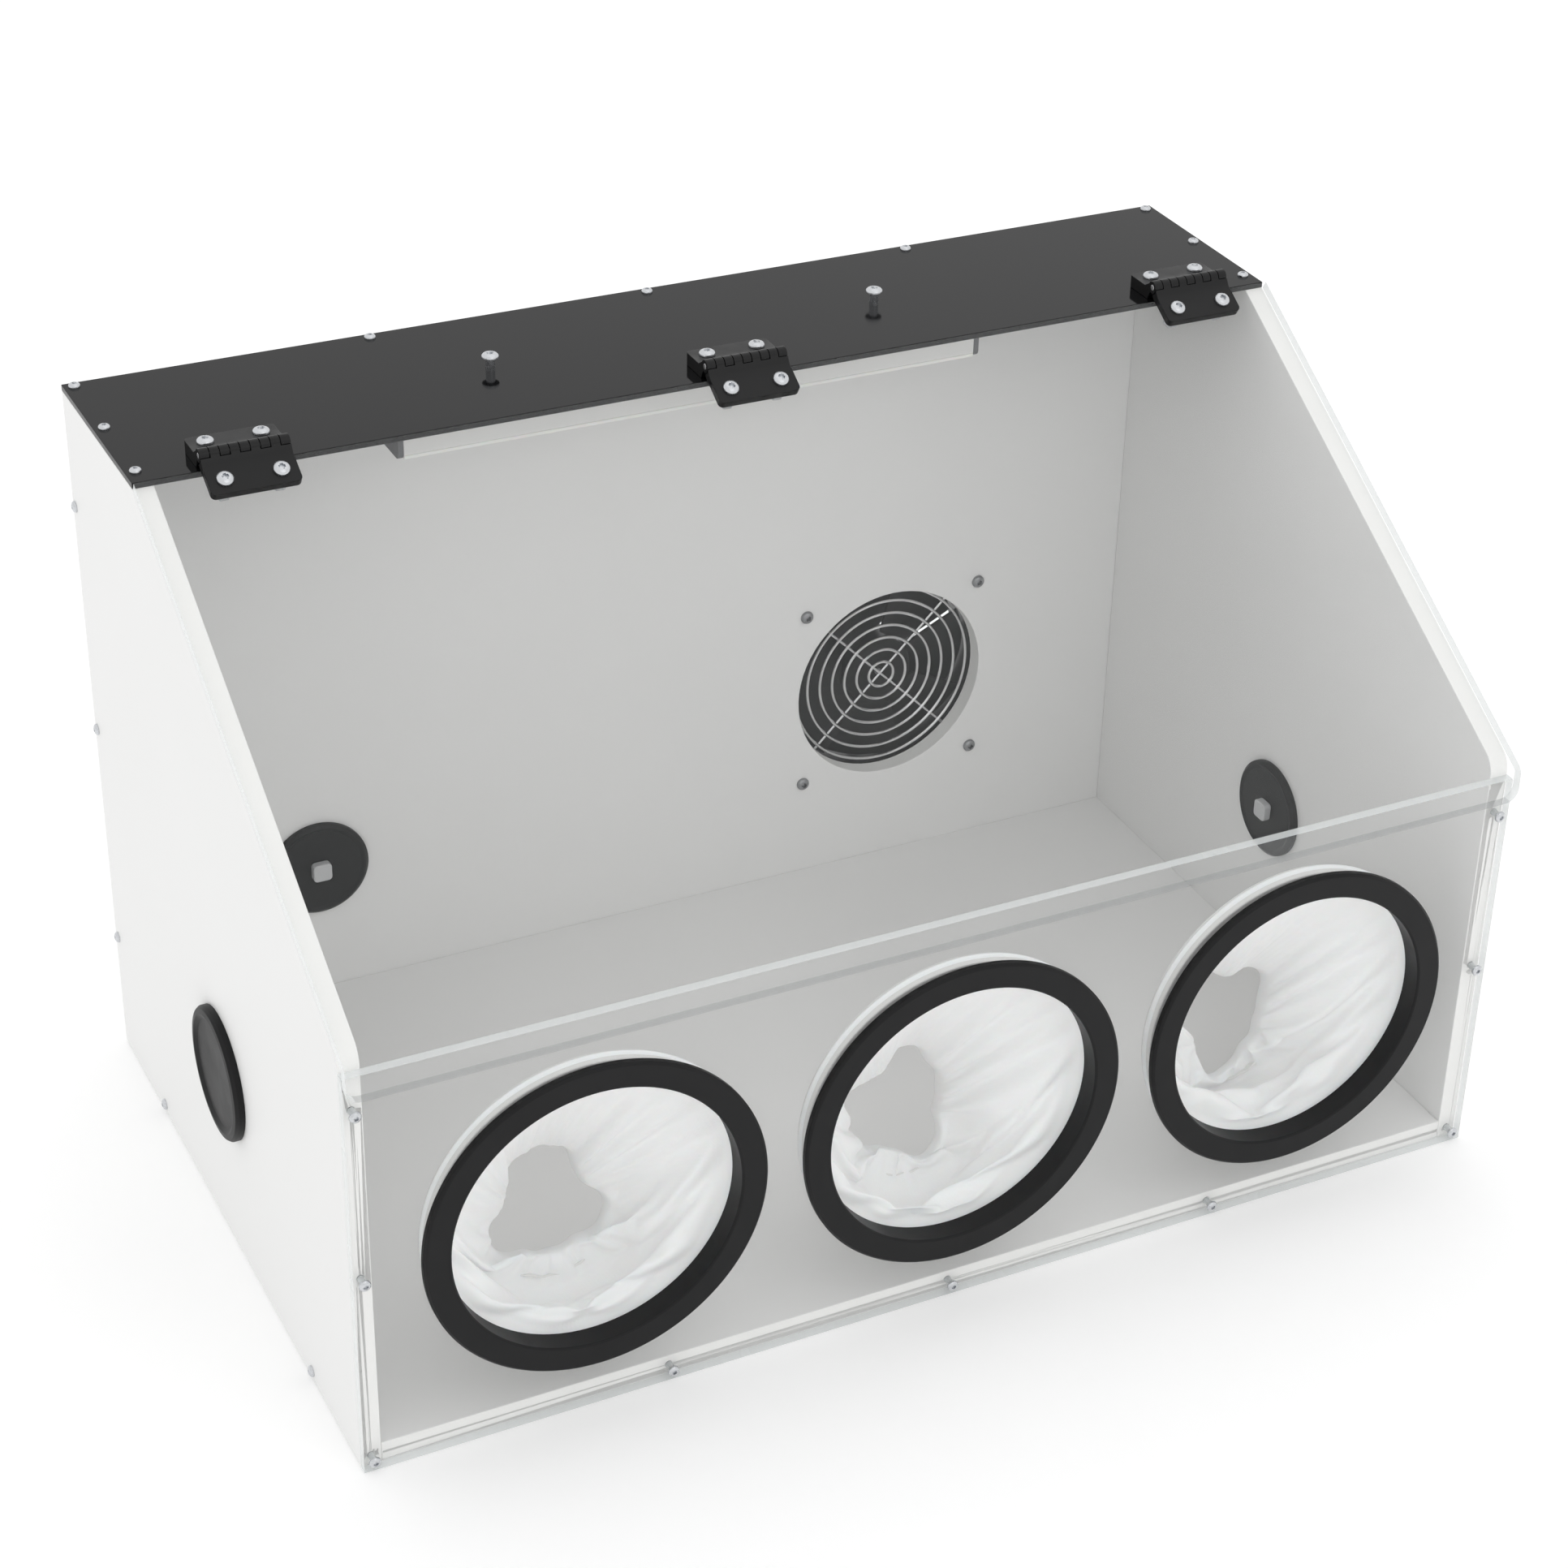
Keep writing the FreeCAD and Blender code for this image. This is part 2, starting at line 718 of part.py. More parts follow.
def sleeve_ring(radius, depth, drop, tilt):
    """A circle across the sleeve: depth into the box, how far it hangs down, and how far it turns."""
    ring = doc.addObject("Part::Circle", "Ring")
    ring.Placement = FreeCAD.Placement(V(), FreeCAD.Rotation(V(1, 0, 0), 10))
    return bind(ring, {"Radius": radius, "Placement.Base.y": drop, "Placement.Base.z": depth,
                       "Placement.Rotation.Angle": f"-({tilt})"})


def cuff_spot(back_off):
    """The cuff's middle as depth and drop, a distance back from its open end along its own line."""
    depth = f"window_thick + sleeve_length + ({back_off}) * cos(cuff_tilt * 1 deg)"
    return depth, f"sleeve_drop + ({back_off}) * sin(cuff_tilt * 1 deg)"


def sleeve_loft(start, mouth, wall, overrun):
    """The sleeve's outside or inside, straight past the clamp ring and then narrowing to the cuff."""
    depth, drop = cuff_spot("-cuff_length")
    rings = [sleeve_ring(f"{mouth} + {wall}", f"window_thick - {overrun}", "0", "0"),
             sleeve_ring(f"{mouth} + {wall}", start, "0", "0")]
    for share, narrow in SLEEVE_STEPS:
        rings.append(sleeve_ring(
            f"{mouth} + (cuff_radius - ({mouth})) * {narrow} + {wall}",
            f"{start} + ({depth} - ({start})) * {share}", f"({drop}) * {share}",
            f"cuff_tilt * {share}"))
    rings.append(sleeve_ring(f"cuff_radius + {wall}", depth, drop, "cuff_tilt"))
    depth, drop = cuff_spot(overrun)
    rings.append(sleeve_ring(f"cuff_radius + {wall}", depth, drop, "cuff_tilt"))
    loft = doc.addObject("Part::Loft", "Loft")
    loft.Sections = rings
    loft.Solid = True
    loft.Ruled = True
    return loft


def set_on_cuff(item, back_off):
    """Carry an item that stands on the origin to the cuff's line."""
    depth, drop = cuff_spot(back_off)
    item.Placement = FreeCAD.Placement(V(), FreeCAD.Rotation(V(1, 0, 0), 10))
    return bind(item, {"Placement.Base.y": drop, "Placement.Base.z": depth,
                       "Placement.Rotation.Angle": "-cuff_tilt"})


def make_arm_ports():
    """Collar, clamp ring, fabric sleeve and cuff elastic of each port; heights run into the box."""
    bore = "port_bore / 2"
    back = "window_thick + spigot_proud"
    collar = revolve("Collar", [
        (bore, "-collar_thick + bore_bevel"),
        (f"{bore} + bore_bevel", "-collar_thick"),
        ("collar_outer / 2 - collar_bevel", "-collar_thick"),
        ("collar_outer / 2", "-collar_thick + collar_bevel"),
        ("collar_outer / 2", "0"),
        ("spigot_radius", "0"),
        ("spigot_radius", back),
        (bore, back),
    ])
    clamp_start = "window_thick + fabric + fit_gap"
    clamp_end = f"{clamp_start} + clamp_length"
    clamp = revolve("ClampRing", rectangle("clamp_inner", clamp_start, "clamp_outer", clamp_end))
    mouth = "spigot_radius + fit_gap"
    hem = "clamp_outer + fit_gap"
    fold = revolve("SleeveHem", [
        (f"{mouth} + fabric / 2", "window_thick"),
        (f"{mouth} + fabric / 2", "window_thick + fabric"),
        (hem, "window_thick + fabric"),
        (hem, clamp_end),
        (f"{hem} + fabric", clamp_end),
        (f"{hem} + fabric", "window_thick"),
    ])
    skin = cut(sleeve_loft(clamp_end, mouth, "fabric", "0"), sleeve_loft(clamp_end, mouth, "0", "1"))
    sleeve = fuse([fold, skin])
    band = cut(cylinder("cuff_radius + fabric + fit_gap + elastic_wall", "cuff_length - 2 * elastic_inset"),
               cylinder("cuff_radius + fabric + fit_gap", "cuff_length"))
    elastic = group([set_on_cuff(band, "elastic_inset - cuff_length")])
    pieces = {"port_collar": collar, "port_clamp_ring": clamp, "arm_sleeve": sleeve,
              "cuff_elastic": elastic}
    for place, step in PLACES.items():
        spot = (f"{step} * port_pitch", "-half_depth", "port_height")
        for label, piece in pieces.items():
            node(f"{label}_{place}", copies(piece, [spot], "y"))


# ---- extraction fan ---------------------------------------------------------------------------------

def make_fan_frame():
    """Square fan frame with two flanges, a round duct, four struts and a bearing tube."""
    body = new_body("FanBlock")
    sketch = new_sketch(body, "XY_Plane")
    outline(sketch, rectangle("-fan_side / 2", "-fan_side / 2", "fan_side / 2", "fan_side / 2"))
    pad(body, sketch, "fan_depth")
    fillet(body, "fan_corner", lambda edge: along(edge, V(0, 0, 1)))
    waist = box("fan_side + 2", "fan_side + 2", "fan_depth - 2 * fan_flange",
                ("-fan_side / 2 - 1", "-fan_side / 2 - 1", "fan_flange"))
    duct = cylinder("fan_bore / 2 + fan_wall", "fan_depth")
    bore = cylinder("fan_bore / 2", "fan_depth + 2", ("0", "0", "-1"))
    bolts = copies(cylinder("hole_radius", "fan_depth + 2"),
                   [(f"{a} * fan_hole_pitch / 2", f"{b} * fan_hole_pitch / 2", "-1")
                    for a in SIDES.values() for b in SIDES.values()])
    shell = cut(cut(cut(body, cut(waist, duct)), bore), bolts)
    hub = cylinder("hub_radius", "strut_thick", ("0", "0", "fan_depth - strut_thick"))
    tube = cylinder("bearing_radius", "fan_depth - tube_start - tube_back", ("0", "0", "tube_start"))
    spokes = []
    for width, depth in (("fan_bore + 1", "strut_width"), ("strut_width", "fan_bore + 1")):
        spokes.append(box(width, depth, "strut_thick",
                          (f"-({width}) / 2", f"-({depth}) / 2", "fan_depth - strut_thick")))
    bearing = cylinder("shaft_radius + shaft_clearance", "fan_depth + 2", ("0", "0", "-1"))
    frame = cut(fuse([shell, hub, tube] + spokes), bearing)
    node("fan_frame", copies(frame, [("fan_shift", "fan_front", "fan_height")], "y"))


def make_fan_stator():
    """The wound core on the bearing tube, inside the rotor's hub."""
    inner = "bearing_radius + fit_gap"
    outer = "hub_radius - hub_wall - stator_gap"
    core = revolve("Stator", rectangle(inner, "stator_start", outer, "fan_depth - stator_back"))
    node("fan_stator", copies(core, [("fan_shift", "fan_front", "fan_height")], "y"))


def blade(root, tip, start, depth, thick):
    """One twisted blade from the hub to its tip circle, lofted through three flat sections."""
    sections = []
    for share, turn in BLADE_TURNS:
        radius = root + (tip - root) * share
        half = depth / 2 / math.sin(math.radians(turn))
        corners = [V(radius, -half, -thick / 2), V(radius, half, -thick / 2),
                   V(radius, half, thick / 2), V(radius, -half, thick / 2)]
        wire = Part.makePolygon(corners + corners[:1])
        wire.rotate(V(radius, 0, 0), V(1, 0, 0), turn)
        wire.translate(V(0, 0, start + depth / 2))
        sections.append(wire)
    whole = Part.makeLoft(sections, True, True)
    return whole.common(Part.makeCylinder(tip, 2 * depth))


def make_fan_rotor():
    """Hub cup with seven twisted blades, and the shaft pressed into it."""
    radius = value("hub_radius")
    wall = value("hub_wall")
    depth = value("fan_depth")
    tip = value("fan_bore") / 2 - value("blade_gap")
    cup_start = value("cup_start")
    cup_end = depth - value("cup_back")
    cup = Part.makeCylinder(radius, cup_end - cup_start, V(0, 0, cup_start))
    cup = cup.cut(Part.makeCylinder(radius - wall, cup_end, V(0, 0, cup_start + 2 * wall)))
    cup = cup.cut(Part.makeCylinder(value("shaft_radius"), depth, V()))
    blades = []
    for index in range(BLADES):
        one = blade(radius - wall / 2, tip, value("blade_start"), value("blade_depth"),
                    value("blade_thick"))
        one.rotate(V(), V(0, 0, 1), index * 360 / BLADES)
        blades.append(one)
    rotor = doc.addObject("Part::Feature", "Rotor")
    rotor.Shape = cup.multiFuse(blades).removeSplitter()
    spot = ("fan_shift", "fan_front", "fan_height")
    node("fan_rotor", copies(rotor, [spot], "y"))
    shaft = cylinder("shaft_radius", "fan_depth - cup_back", ("0", "0", "cup_start"))
    node("fan_shaft", copies(shaft, [spot], "y"))


def make_fan_guard():
    """Wire guard: evenly spaced rings, two crossed struts and an eye round each bolt."""
    pieces = []
    for ring in range(1, GUARD_RINGS + 1):
        hoop = doc.addObject("Part::Torus", "Hoop")
        bind(hoop, {"Radius1": f"{ring} * wire_pitch", "Radius2": "wire / 2"})
        pieces.append(put(hoop, ("0", "0", "wire / 2")))
    level = "wire / 2 + wire * 0.75"
    for angle in (45, 135):
        strut = cylinder("wire / 2", "fan_hole_pitch * sqrt(2) - 6")
        turn = FreeCAD.Rotation(V(0, 0, 1), angle).multiply(TURNS["x"])
        strut.Placement = FreeCAD.Placement(V(), turn)
        reach = "(fan_hole_pitch / sqrt(2) - 3)"
        across = "-" if angle == 45 else ""
        bind(strut, {"Placement.Base.x": f"{across}{reach} / sqrt(2)",
                     "Placement.Base.y": f"-{reach} / sqrt(2)",
                     "Placement.Base.z": level})
        pieces.append(strut)
    for x, _, y in fan_bolt_spots("0"):
        eye = doc.addObject("Part::Torus", "Eye")
        bind(eye, {"Radius1": "bolt_radius + wire * 0.75", "Radius2": "wire / 2"})
        spot = (x.replace("fan_shift", "0"), y.replace("fan_height", "0"), level)
        pieces.append(put(eye, spot))
    node("fan_guard", copies(fuse(pieces), [("fan_shift", "half_depth", "fan_height")], "y"))


def make_fan_bolts(nut):
    """Long bolts from inside the box through the board, the guard and the fan, with their nuts."""
    length = "board + guard_thick + fan_depth + nut_thick + thread_proud"
    bolt = pan_screw("FanBolt", "bolt_radius", length, "bolt_head_radius * 0.9", "bolt_head")
    node("fan_bolts", copies(bolt, fan_bolt_spots("half_depth - board"), "-y"))
    node("fan_nuts", copies(nut, fan_bolt_spots("fan_back"), "y"))


# ---- lamp bar ---------------------------------------------------------------------------------------

def make_lamp(nut):
    """Lamp bar hung under the top panel by two bolts whose heads stand proud of it."""
    low = "lamp_shift - lamp_length / 2"
    inner_low = f"{low} + lamp_cap"
    inner_length = "lamp_length - 2 * lamp_cap"
    body = new_body("LampHousing")
    sketch = new_sketch(body, "YZ_Plane")
    half = "lamp_width / 2"
    bottom = "lamp_bottom + diffuser_thick"
    outline(sketch, [
        (f"lamp_y - {half}", bottom),
        (f"lamp_y - {half}", "case_height"),
        (f"lamp_y + {half}", "case_height"),
        (f"lamp_y + {half}", bottom),
        (f"lamp_y + {half} - lamp_wall", bottom),
        (f"lamp_y + {half} - lamp_wall", "case_height - lamp_wall"),
        (f"lamp_y - {half} + lamp_wall", "case_height - lamp_wall"),
        (f"lamp_y - {half} + lamp_wall", bottom),
    ])
    pad(body, sketch, inner_length)
    put(body, (inner_low, "0", "0"))
    housing = drill(body, "hole_radius", "lamp_wall + 2", lamp_bolt_spots("case_height + 1"), "-z")
    node("lamp_housing", housing)
    node("lamp_diffuser", box(inner_length, "lamp_width", "diffuser_thick",
                              (inner_low, f"lamp_y - {half}", "lamp_bottom")))
    for place, start in (("left", low), ("right", f"{low} + lamp_length - lamp_cap")):
        cap = new_body(f"LampCap{place}")
        cap_sketch = new_sketch(cap, "YZ_Plane")
        outline(cap_sketch, rectangle(f"lamp_y - {half}", "lamp_bottom", f"lamp_y + {half}",
                                      "case_height"))
        pad(cap, cap_sketch, "lamp_cap")
        lowest = value("lamp_bottom") + 1
        fillet(cap, "lamp_cap", lambda edge: along(edge, V(1, 0, 0)) and edge.CenterOfMass.z < lowest)
        node(f"lamp_end_cap_{place}", put(cap, (start, "0", "0")))
    board_width = "lamp_width - 2 * lamp_wall - 2 * fit_gap"
    board_z = "case_height - lamp_wall - nut_thick - 3 - led_board_thick"
    node("lamp_led_board", box(f"{inner_length} - 2 * fit_gap", board_width, "led_board_thick",
                               (f"{inner_low} + fit_gap", f"lamp_y - ({board_width}) / 2", board_z)))
    length = "lamp_bolt_rise + top_thick + lamp_wall + nut_thick + thread_proud"
    bolt = pan_screw("LampBolt", "bolt_radius", length, "bolt_head_radius * 1.05", "bolt_head")
    seats = lamp_bolt_spots("case_height + top_thick + lamp_bolt_rise")
    node("lamp_bolts", copies(bolt, seats))
    node("lamp_nuts", copies(nut, lamp_bolt_spots("case_height - lamp_wall"), "-z"))


# ---- blanking covers --------------------------------------------------------------------------------

def make_covers():
    """Three covers: an outer disc with a threaded boss, an inner disc and the knob bolt between."""
    boss = "board - 2"
    thread = "bolt_radius + 0.5"
    outer = revolve("CoverOuter", [
        ("0", "cover_thick * 0.62"),
        ("cover_outer_radius * 0.8", "cover_thick * 0.68"),
        ("cover_outer_radius * 0.88", "cover_thick"),
        ("cover_outer_radius - 1.2", "cover_thick * 0.92"),
        ("cover_outer_radius", "cover_thick * 0.6"),
        ("cover_outer_radius", "0"),
        ("cover_boss", "0"),
        ("cover_boss", f"-({boss})"),
        (f"{thread} + fit_gap", f"-({boss})"),
        (f"{thread} + fit_gap", "-0.5"),
        ("0", "-0.5"),
    ])
    inner = revolve("CoverInner", [
        (f"{thread} + fit_gap", "-board - cover_thick * 0.6"),
        ("cover_inner_radius * 0.85", "-board - cover_thick * 0.6"),
        ("cover_inner_radius * 0.92", "-board - cover_thick * 0.8"),
        ("cover_inner_radius", "-board - cover_thick * 0.5"),
        ("cover_inner_radius", "-board"),
        (f"{thread} + fit_gap", "-board"),
    ])
    seat = "board + cover_thick * 0.6"
    head = new_body("KnobHead")
    sketch = new_sketch(head, "XY_Plane")
    half = "knob_side / 2"
    outline(sketch, rectangle(f"-{half}", f"-{half}", half, half))
    pad(head, sketch, "knob_side * 0.45")
    fillet(head, "knob_side * 0.22", lambda edge: along(edge, V(0, 0, 1)))
    put(head, ("0", "0", f"-({seat}) - knob_side * 0.45"))
    shank = cylinder(thread, f"{seat} - 1", ("0", "0", f"-({seat}) - 0.5"))
    knob = fuse([head, shank])
    spots = {
        "left": (("-half_width", "half_depth - side_cover_back", "side_cover_height"), "-x"),
        "right": (("half_width", "half_depth - side_cover_back", "side_cover_height"), "x"),
        "back": (("-back_cover_shift", "half_depth", "back_cover_height"), "y"),
    }
    knobs = []
    for place, (spot, turn) in spots.items():
        node(f"cover_outer_{place}", copies(outer, [spot], turn))
        node(f"cover_inner_{place}", copies(inner, [spot], turn))
        knobs.append(link(knob, spot, turn))
    node("cover_knob_bolts", group(knobs))


# ---- build, check and write -------------------------------------------------------------------------

def check_document():
    """Stop if any object failed or any sub-part has no valid shape."""
    for item in doc.Objects:
        if {"Invalid", "Error"} & set(item.State):
            raise RuntimeError(f"{item.Name} ({item.Label}) failed: {item.State}")
    for item in NODES:
        if item.Shape.isNull() or not item.Shape.isValid() or not item.Shape.Solids:
            raise RuntimeError(f"{item.Label} has no valid shape")


def write_parts():
    """Write one STEP file for each sub-part."""
    os.makedirs("parts", exist_ok=True)
    for item in NODES:
        item.Shape.exportStep(f"parts/{item.Label}.step")
        print(f"{item.Label}: {len(item.Shape.Solids)} solid(s)")


sizes = fill_sheet("Sizes", SIZES)
derived = fill_sheet("Derived", {alias: f"={expr(text)}" for alias, text in DERIVED.items()})
for panel_name, panel_side in SIDES.items():
    make_side_panel(panel_name, panel_side)
make_back_panel()
make_floor_panel()
make_top_panel()
make_front_window()
make_board_screws()
make_lid_window()
make_hinges()
hinge_nut = make_hinge_bolts()
make_arm_ports()
make_fan_frame()
make_fan_stator()
make_fan_rotor()
make_fan_guard()
make_fan_bolts(hinge_nut)
make_lamp(hinge_nut)
make_covers()
doc.recompute()
check_document()
write_parts()
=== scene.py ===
"""Visual model of a slanted-front dust and glove work box, built on its CAD frame.

Metres throughout. X runs along the width, Y from the front window to the back panel, Z up.
"""
import logging
import math
from dataclasses import dataclass, field
from enum import Enum
from typing import Any, Iterable

import bmesh
import bpy
from mathutils import Matrix, Vector, noise


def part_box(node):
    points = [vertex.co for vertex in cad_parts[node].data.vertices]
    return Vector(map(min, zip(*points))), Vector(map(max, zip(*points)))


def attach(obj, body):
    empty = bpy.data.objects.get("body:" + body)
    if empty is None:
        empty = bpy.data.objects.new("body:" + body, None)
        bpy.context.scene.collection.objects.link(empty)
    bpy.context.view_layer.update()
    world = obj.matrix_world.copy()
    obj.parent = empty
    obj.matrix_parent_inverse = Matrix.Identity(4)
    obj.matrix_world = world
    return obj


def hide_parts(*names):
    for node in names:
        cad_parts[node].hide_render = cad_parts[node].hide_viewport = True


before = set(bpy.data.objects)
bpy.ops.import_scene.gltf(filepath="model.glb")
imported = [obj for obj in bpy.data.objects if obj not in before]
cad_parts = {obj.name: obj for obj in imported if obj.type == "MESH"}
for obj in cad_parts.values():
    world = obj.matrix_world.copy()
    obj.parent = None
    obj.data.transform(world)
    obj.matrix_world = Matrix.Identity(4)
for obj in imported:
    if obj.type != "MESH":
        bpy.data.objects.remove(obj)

LOG = logging.getLogger("work_box")
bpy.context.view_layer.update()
MM = 0.001
SHARP = math.radians(33)
SIDES = (-1, 1)
PLACES = {"left": -1, "middle": 0, "right": 1}


# ---- finishes ---------------------------------------------------------------------------------------

def srgb(code: str) -> tuple[float, float, float, float]:
    """Turn an sRGB hex value to a linear colour.

    Args:
        code: Six hex digits with a leading hash.

    Returns:
        Linear red, green, blue and an alpha of one.
    """
    parts = [int(code[i:i + 2], 16) / 255 for i in (1, 3, 5)]
    red, green, blue = (p / 12.92 if p <= 0.04045 else ((p + 0.055) / 1.055) ** 2.4 for p in parts)
    return red, green, blue, 1.0


def add_node(tree: bpy.types.NodeTree, kind: str, inputs: dict[Any, Any] | None = None,
             **settings: Any) -> bpy.types.Node:
    """Add one shader node with its settings and its links.

    Args:
        tree: The material's node tree.
        kind: The node's type.
        inputs: Each socket's name or number, with a value or the output socket that feeds it.
        **settings: The node's own properties.

    Returns:
        The new node.
    """
    node = tree.nodes.new(kind)
    for name, setting in settings.items():
        setattr(node, name, setting)
    for socket, feed in (inputs or {}).items():
        if isinstance(feed, bpy.types.NodeSocket):
            tree.links.new(feed, node.inputs[socket])
        else:
            node.inputs[socket].default_value = feed
    return node


class Grain(Enum):
    """The small relief that the way of making leaves on a surface."""

    ROLLED = "soft orange peel of a rolled or sprayed skin"
    SPARKED = "fine spark-eroded mould texture"
    FOAMED = "open cells of a sawn foam core"
    WOVEN = "plain weave"
    KNITTED = "ribs of a knitted band"
    DRAWN = "fine lines along a drawn or turned metal part"
    WOUND = "turns of wire"


@dataclass(frozen=True)
class Finish:
    """A real material and how its surface was made.

    grain_mm is the relief's spacing and relief_mm its height; cloud_mm is the size of the slow
    changes in tone, cloud how strong they are, and wear how far they move the gloss. glow is the
    light that a floor lit from below gives off.
    """

    name: str
    colour: str
    roughness: float
    grain: Grain
    grain_mm: float
    relief_mm: float
    ior: float = 1.49
    metallic: float = 0.0
    cloud_mm: float = 40.0
    cloud: float = 0.03
    wear: float = 0.05
    specular: float = 0.5
    sheen: float = 0.0
    subsurface: float = 0.0
    glow: float = 0.0

    def relief(self, tree: bpy.types.NodeTree, spot: bpy.types.NodeSocket) -> bpy.types.NodeSocket:
        """Make the height pattern.

        Args:
            tree: The material's node tree.
            spot: Object coordinates, or the piece's own UV for cloth.

        Returns:
            The socket that gives the height from 0 to 1.
        """
        scale = 1 / (self.grain_mm * MM)
        if self.grain in (Grain.WOVEN, Grain.KNITTED, Grain.WOUND):
            warp = add_node(tree, "ShaderNodeTexWave", {"Vector": spot, "Scale": scale / 6.2832,
                                                        "Distortion": 0.6, "Detail": 1.0},
                            bands_direction="X", wave_profile="SIN")
            if self.grain is not Grain.WOVEN:
                return warp.outputs["Fac"]
            weft = add_node(tree, "ShaderNodeTexWave", {"Vector": spot, "Scale": scale / 6.2832,
                                                        "Distortion": 0.6, "Detail": 1.0},
                            bands_direction="Y", wave_profile="SIN")
            both = add_node(tree, "ShaderNodeMath", {0: warp.outputs["Fac"],
                                                     1: weft.outputs["Fac"]}, operation="MAXIMUM")
            return both.outputs[0]
        if self.grain is Grain.FOAMED:
            cells = add_node(tree, "ShaderNodeTexVoronoi", {"Vector": spot, "Scale": scale},
                             feature="SMOOTH_F1")
            return cells.outputs["Distance"]
        if self.grain is Grain.DRAWN:
            stretched = add_node(tree, "ShaderNodeMapping", {"Vector": spot, "Scale": (1, 1, 0.08)})
            lines = add_node(tree, "ShaderNodeTexNoise", {"Vector": stretched.outputs[0],
                                                          "Scale": scale, "Detail": 4.0})
            return lines.outputs["Fac"]
        detail = 6.0 if self.grain is Grain.SPARKED else 1.5
        skin = add_node(tree, "ShaderNodeTexNoise", {"Vector": spot, "Scale": scale,
                                                     "Detail": detail, "Roughness": 0.55})
        return skin.outputs["Fac"]

    def material(self) -> bpy.types.Material:
        """Make the material, or find it if it is already made.

        Returns:
            The finished material.
        """
        found = bpy.data.materials.get(self.name)
        if found is not None:
            return found
        made = bpy.data.materials.new(self.name)
        made.use_nodes = True
        tree = made.node_tree
        tree.nodes.clear()
        place = add_node(tree, "ShaderNodeTexCoord")
        follows_cloth = self.grain is Grain.WOVEN
        spot = place.outputs["UV" if follows_cloth else "Object"]
        clouds = add_node(tree, "ShaderNodeTexNoise", {"Vector": place.outputs["Object"],
                                                       "Scale": 1 / (self.cloud_mm * MM),
                                                       "Detail": 3.0, "Roughness": 0.6})
        red, green, blue, _ = srgb(self.colour)
        low = tuple(c * (1 - self.cloud) for c in (red, green, blue)) + (1.0,)
        high = tuple(min(1.0, c * (1 + self.cloud)) for c in (red, green, blue)) + (1.0,)
        tone = add_node(tree, "ShaderNodeMix", {0: clouds.outputs["Fac"], 6: low, 7: high},
                        data_type="RGBA")
        gloss = add_node(tree, "ShaderNodeMapRange",
                         {"Value": clouds.outputs["Fac"], "From Min": 0.3, "From Max": 0.7,
                          "To Min": max(0.02, self.roughness - self.wear),
                          "To Max": min(1.0, self.roughness + self.wear)})
        bump = add_node(tree, "ShaderNodeBump", {"Height": self.relief(tree, spot), "Strength": 1.0,
                                                 "Distance": self.relief_mm * MM})
        shader = add_node(tree, "ShaderNodeBsdfPrincipled",
                          {"Base Color": tone.outputs[2], "Roughness": gloss.outputs[0],
                           "Normal": bump.outputs[0], "Metallic": self.metallic,
                           "Specular IOR Level": self.specular,
                           "Emission Color": srgb(self.colour), "Emission Strength": self.glow,
                           "Sheen Weight": self.sheen, "Sheen Roughness": 0.4,
                           "Subsurface Weight": self.subsurface, "Subsurface Scale": 0.002})
        if not self.metallic:
            shader.inputs["IOR"].default_value = self.ior
        add_node(tree, "ShaderNodeOutputMaterial", {"Surface": shader.outputs[0]})
        return made


@dataclass(frozen=True)
class ClearSheet:
    """Polished clear acrylic: almost invisible face on, stronger at a low angle or on a cut edge."""

    name: str
    tint: str
    face_on: float
    low_angle: float
    roughness: float

    def material(self) -> bpy.types.Material:
        """Make the material, or find it if it is already made.

        Returns:
            The finished material.
        """
        found = bpy.data.materials.get(self.name)
        if found is not None:
            return found
        made = bpy.data.materials.new(self.name)
        made.use_nodes = True
        made.surface_render_method = "BLENDED"
        tree = made.node_tree
        tree.nodes.clear()
        place = add_node(tree, "ShaderNodeTexCoord")
        # faint wipe marks, a few centimetres across, that only show in the gloss
        wipes = add_node(tree, "ShaderNodeTexNoise", {"Vector": place.outputs["Object"],
                                                      "Scale": 1 / (45 * MM), "Detail": 2.0})
        gloss = add_node(tree, "ShaderNodeMapRange",
                         {"Value": wipes.outputs["Fac"], "To Min": self.roughness,
                          "To Max": self.roughness * 2.2})
        edge_on = add_node(tree, "ShaderNodeLayerWeight", {"Blend": 0.25})
        body = add_node(tree, "ShaderNodeMapRange",
                        {"Value": edge_on.outputs["Facing"], "To Min": self.face_on,
                         "To Max": self.low_angle})
        shader = add_node(tree, "ShaderNodeBsdfPrincipled",
                          {"Base Color": srgb(self.tint), "Roughness": gloss.outputs[0],
                           "IOR": 1.49, "Alpha": body.outputs[0]})
        add_node(tree, "ShaderNodeOutputMaterial", {"Surface": shader.outputs[0]})
        return made


# Expanded PVC board, 10 mm: a smooth, satin skin with a faint roll texture.
BOARD_SKIN = Finish("expanded_pvc_skin", "#ececeb", 0.42, Grain.ROLLED, 1.6, 0.004, 1.52,
                    cloud_mm=120, cloud=0.012)
# The same board where it was sawn and routed: matt, with the core's small cells showing.
BOARD_CORE = Finish("expanded_pvc_sawn_edge", "#f1f1ef", 0.68, Grain.FOAMED, 0.7, 0.03, 1.52,
                    cloud_mm=25, cloud=0.02)
# Cast black acrylic sheet: a deep gloss that mirrors the studio, with faint wipe marks.
TOP_SHEET = Finish("black_cast_acrylic", "#0d0d0e", 0.09, Grain.ROLLED, 14.0, 0.004, 1.49,
                   cloud_mm=60, cloud=0.1, wear=0.05, specular=0.16)
# Its laser-cut rim, a little duller than the face.
TOP_RIM = Finish("black_acrylic_cut_rim", "#141415", 0.28, Grain.DRAWN, 0.8, 0.01, specular=0.25)
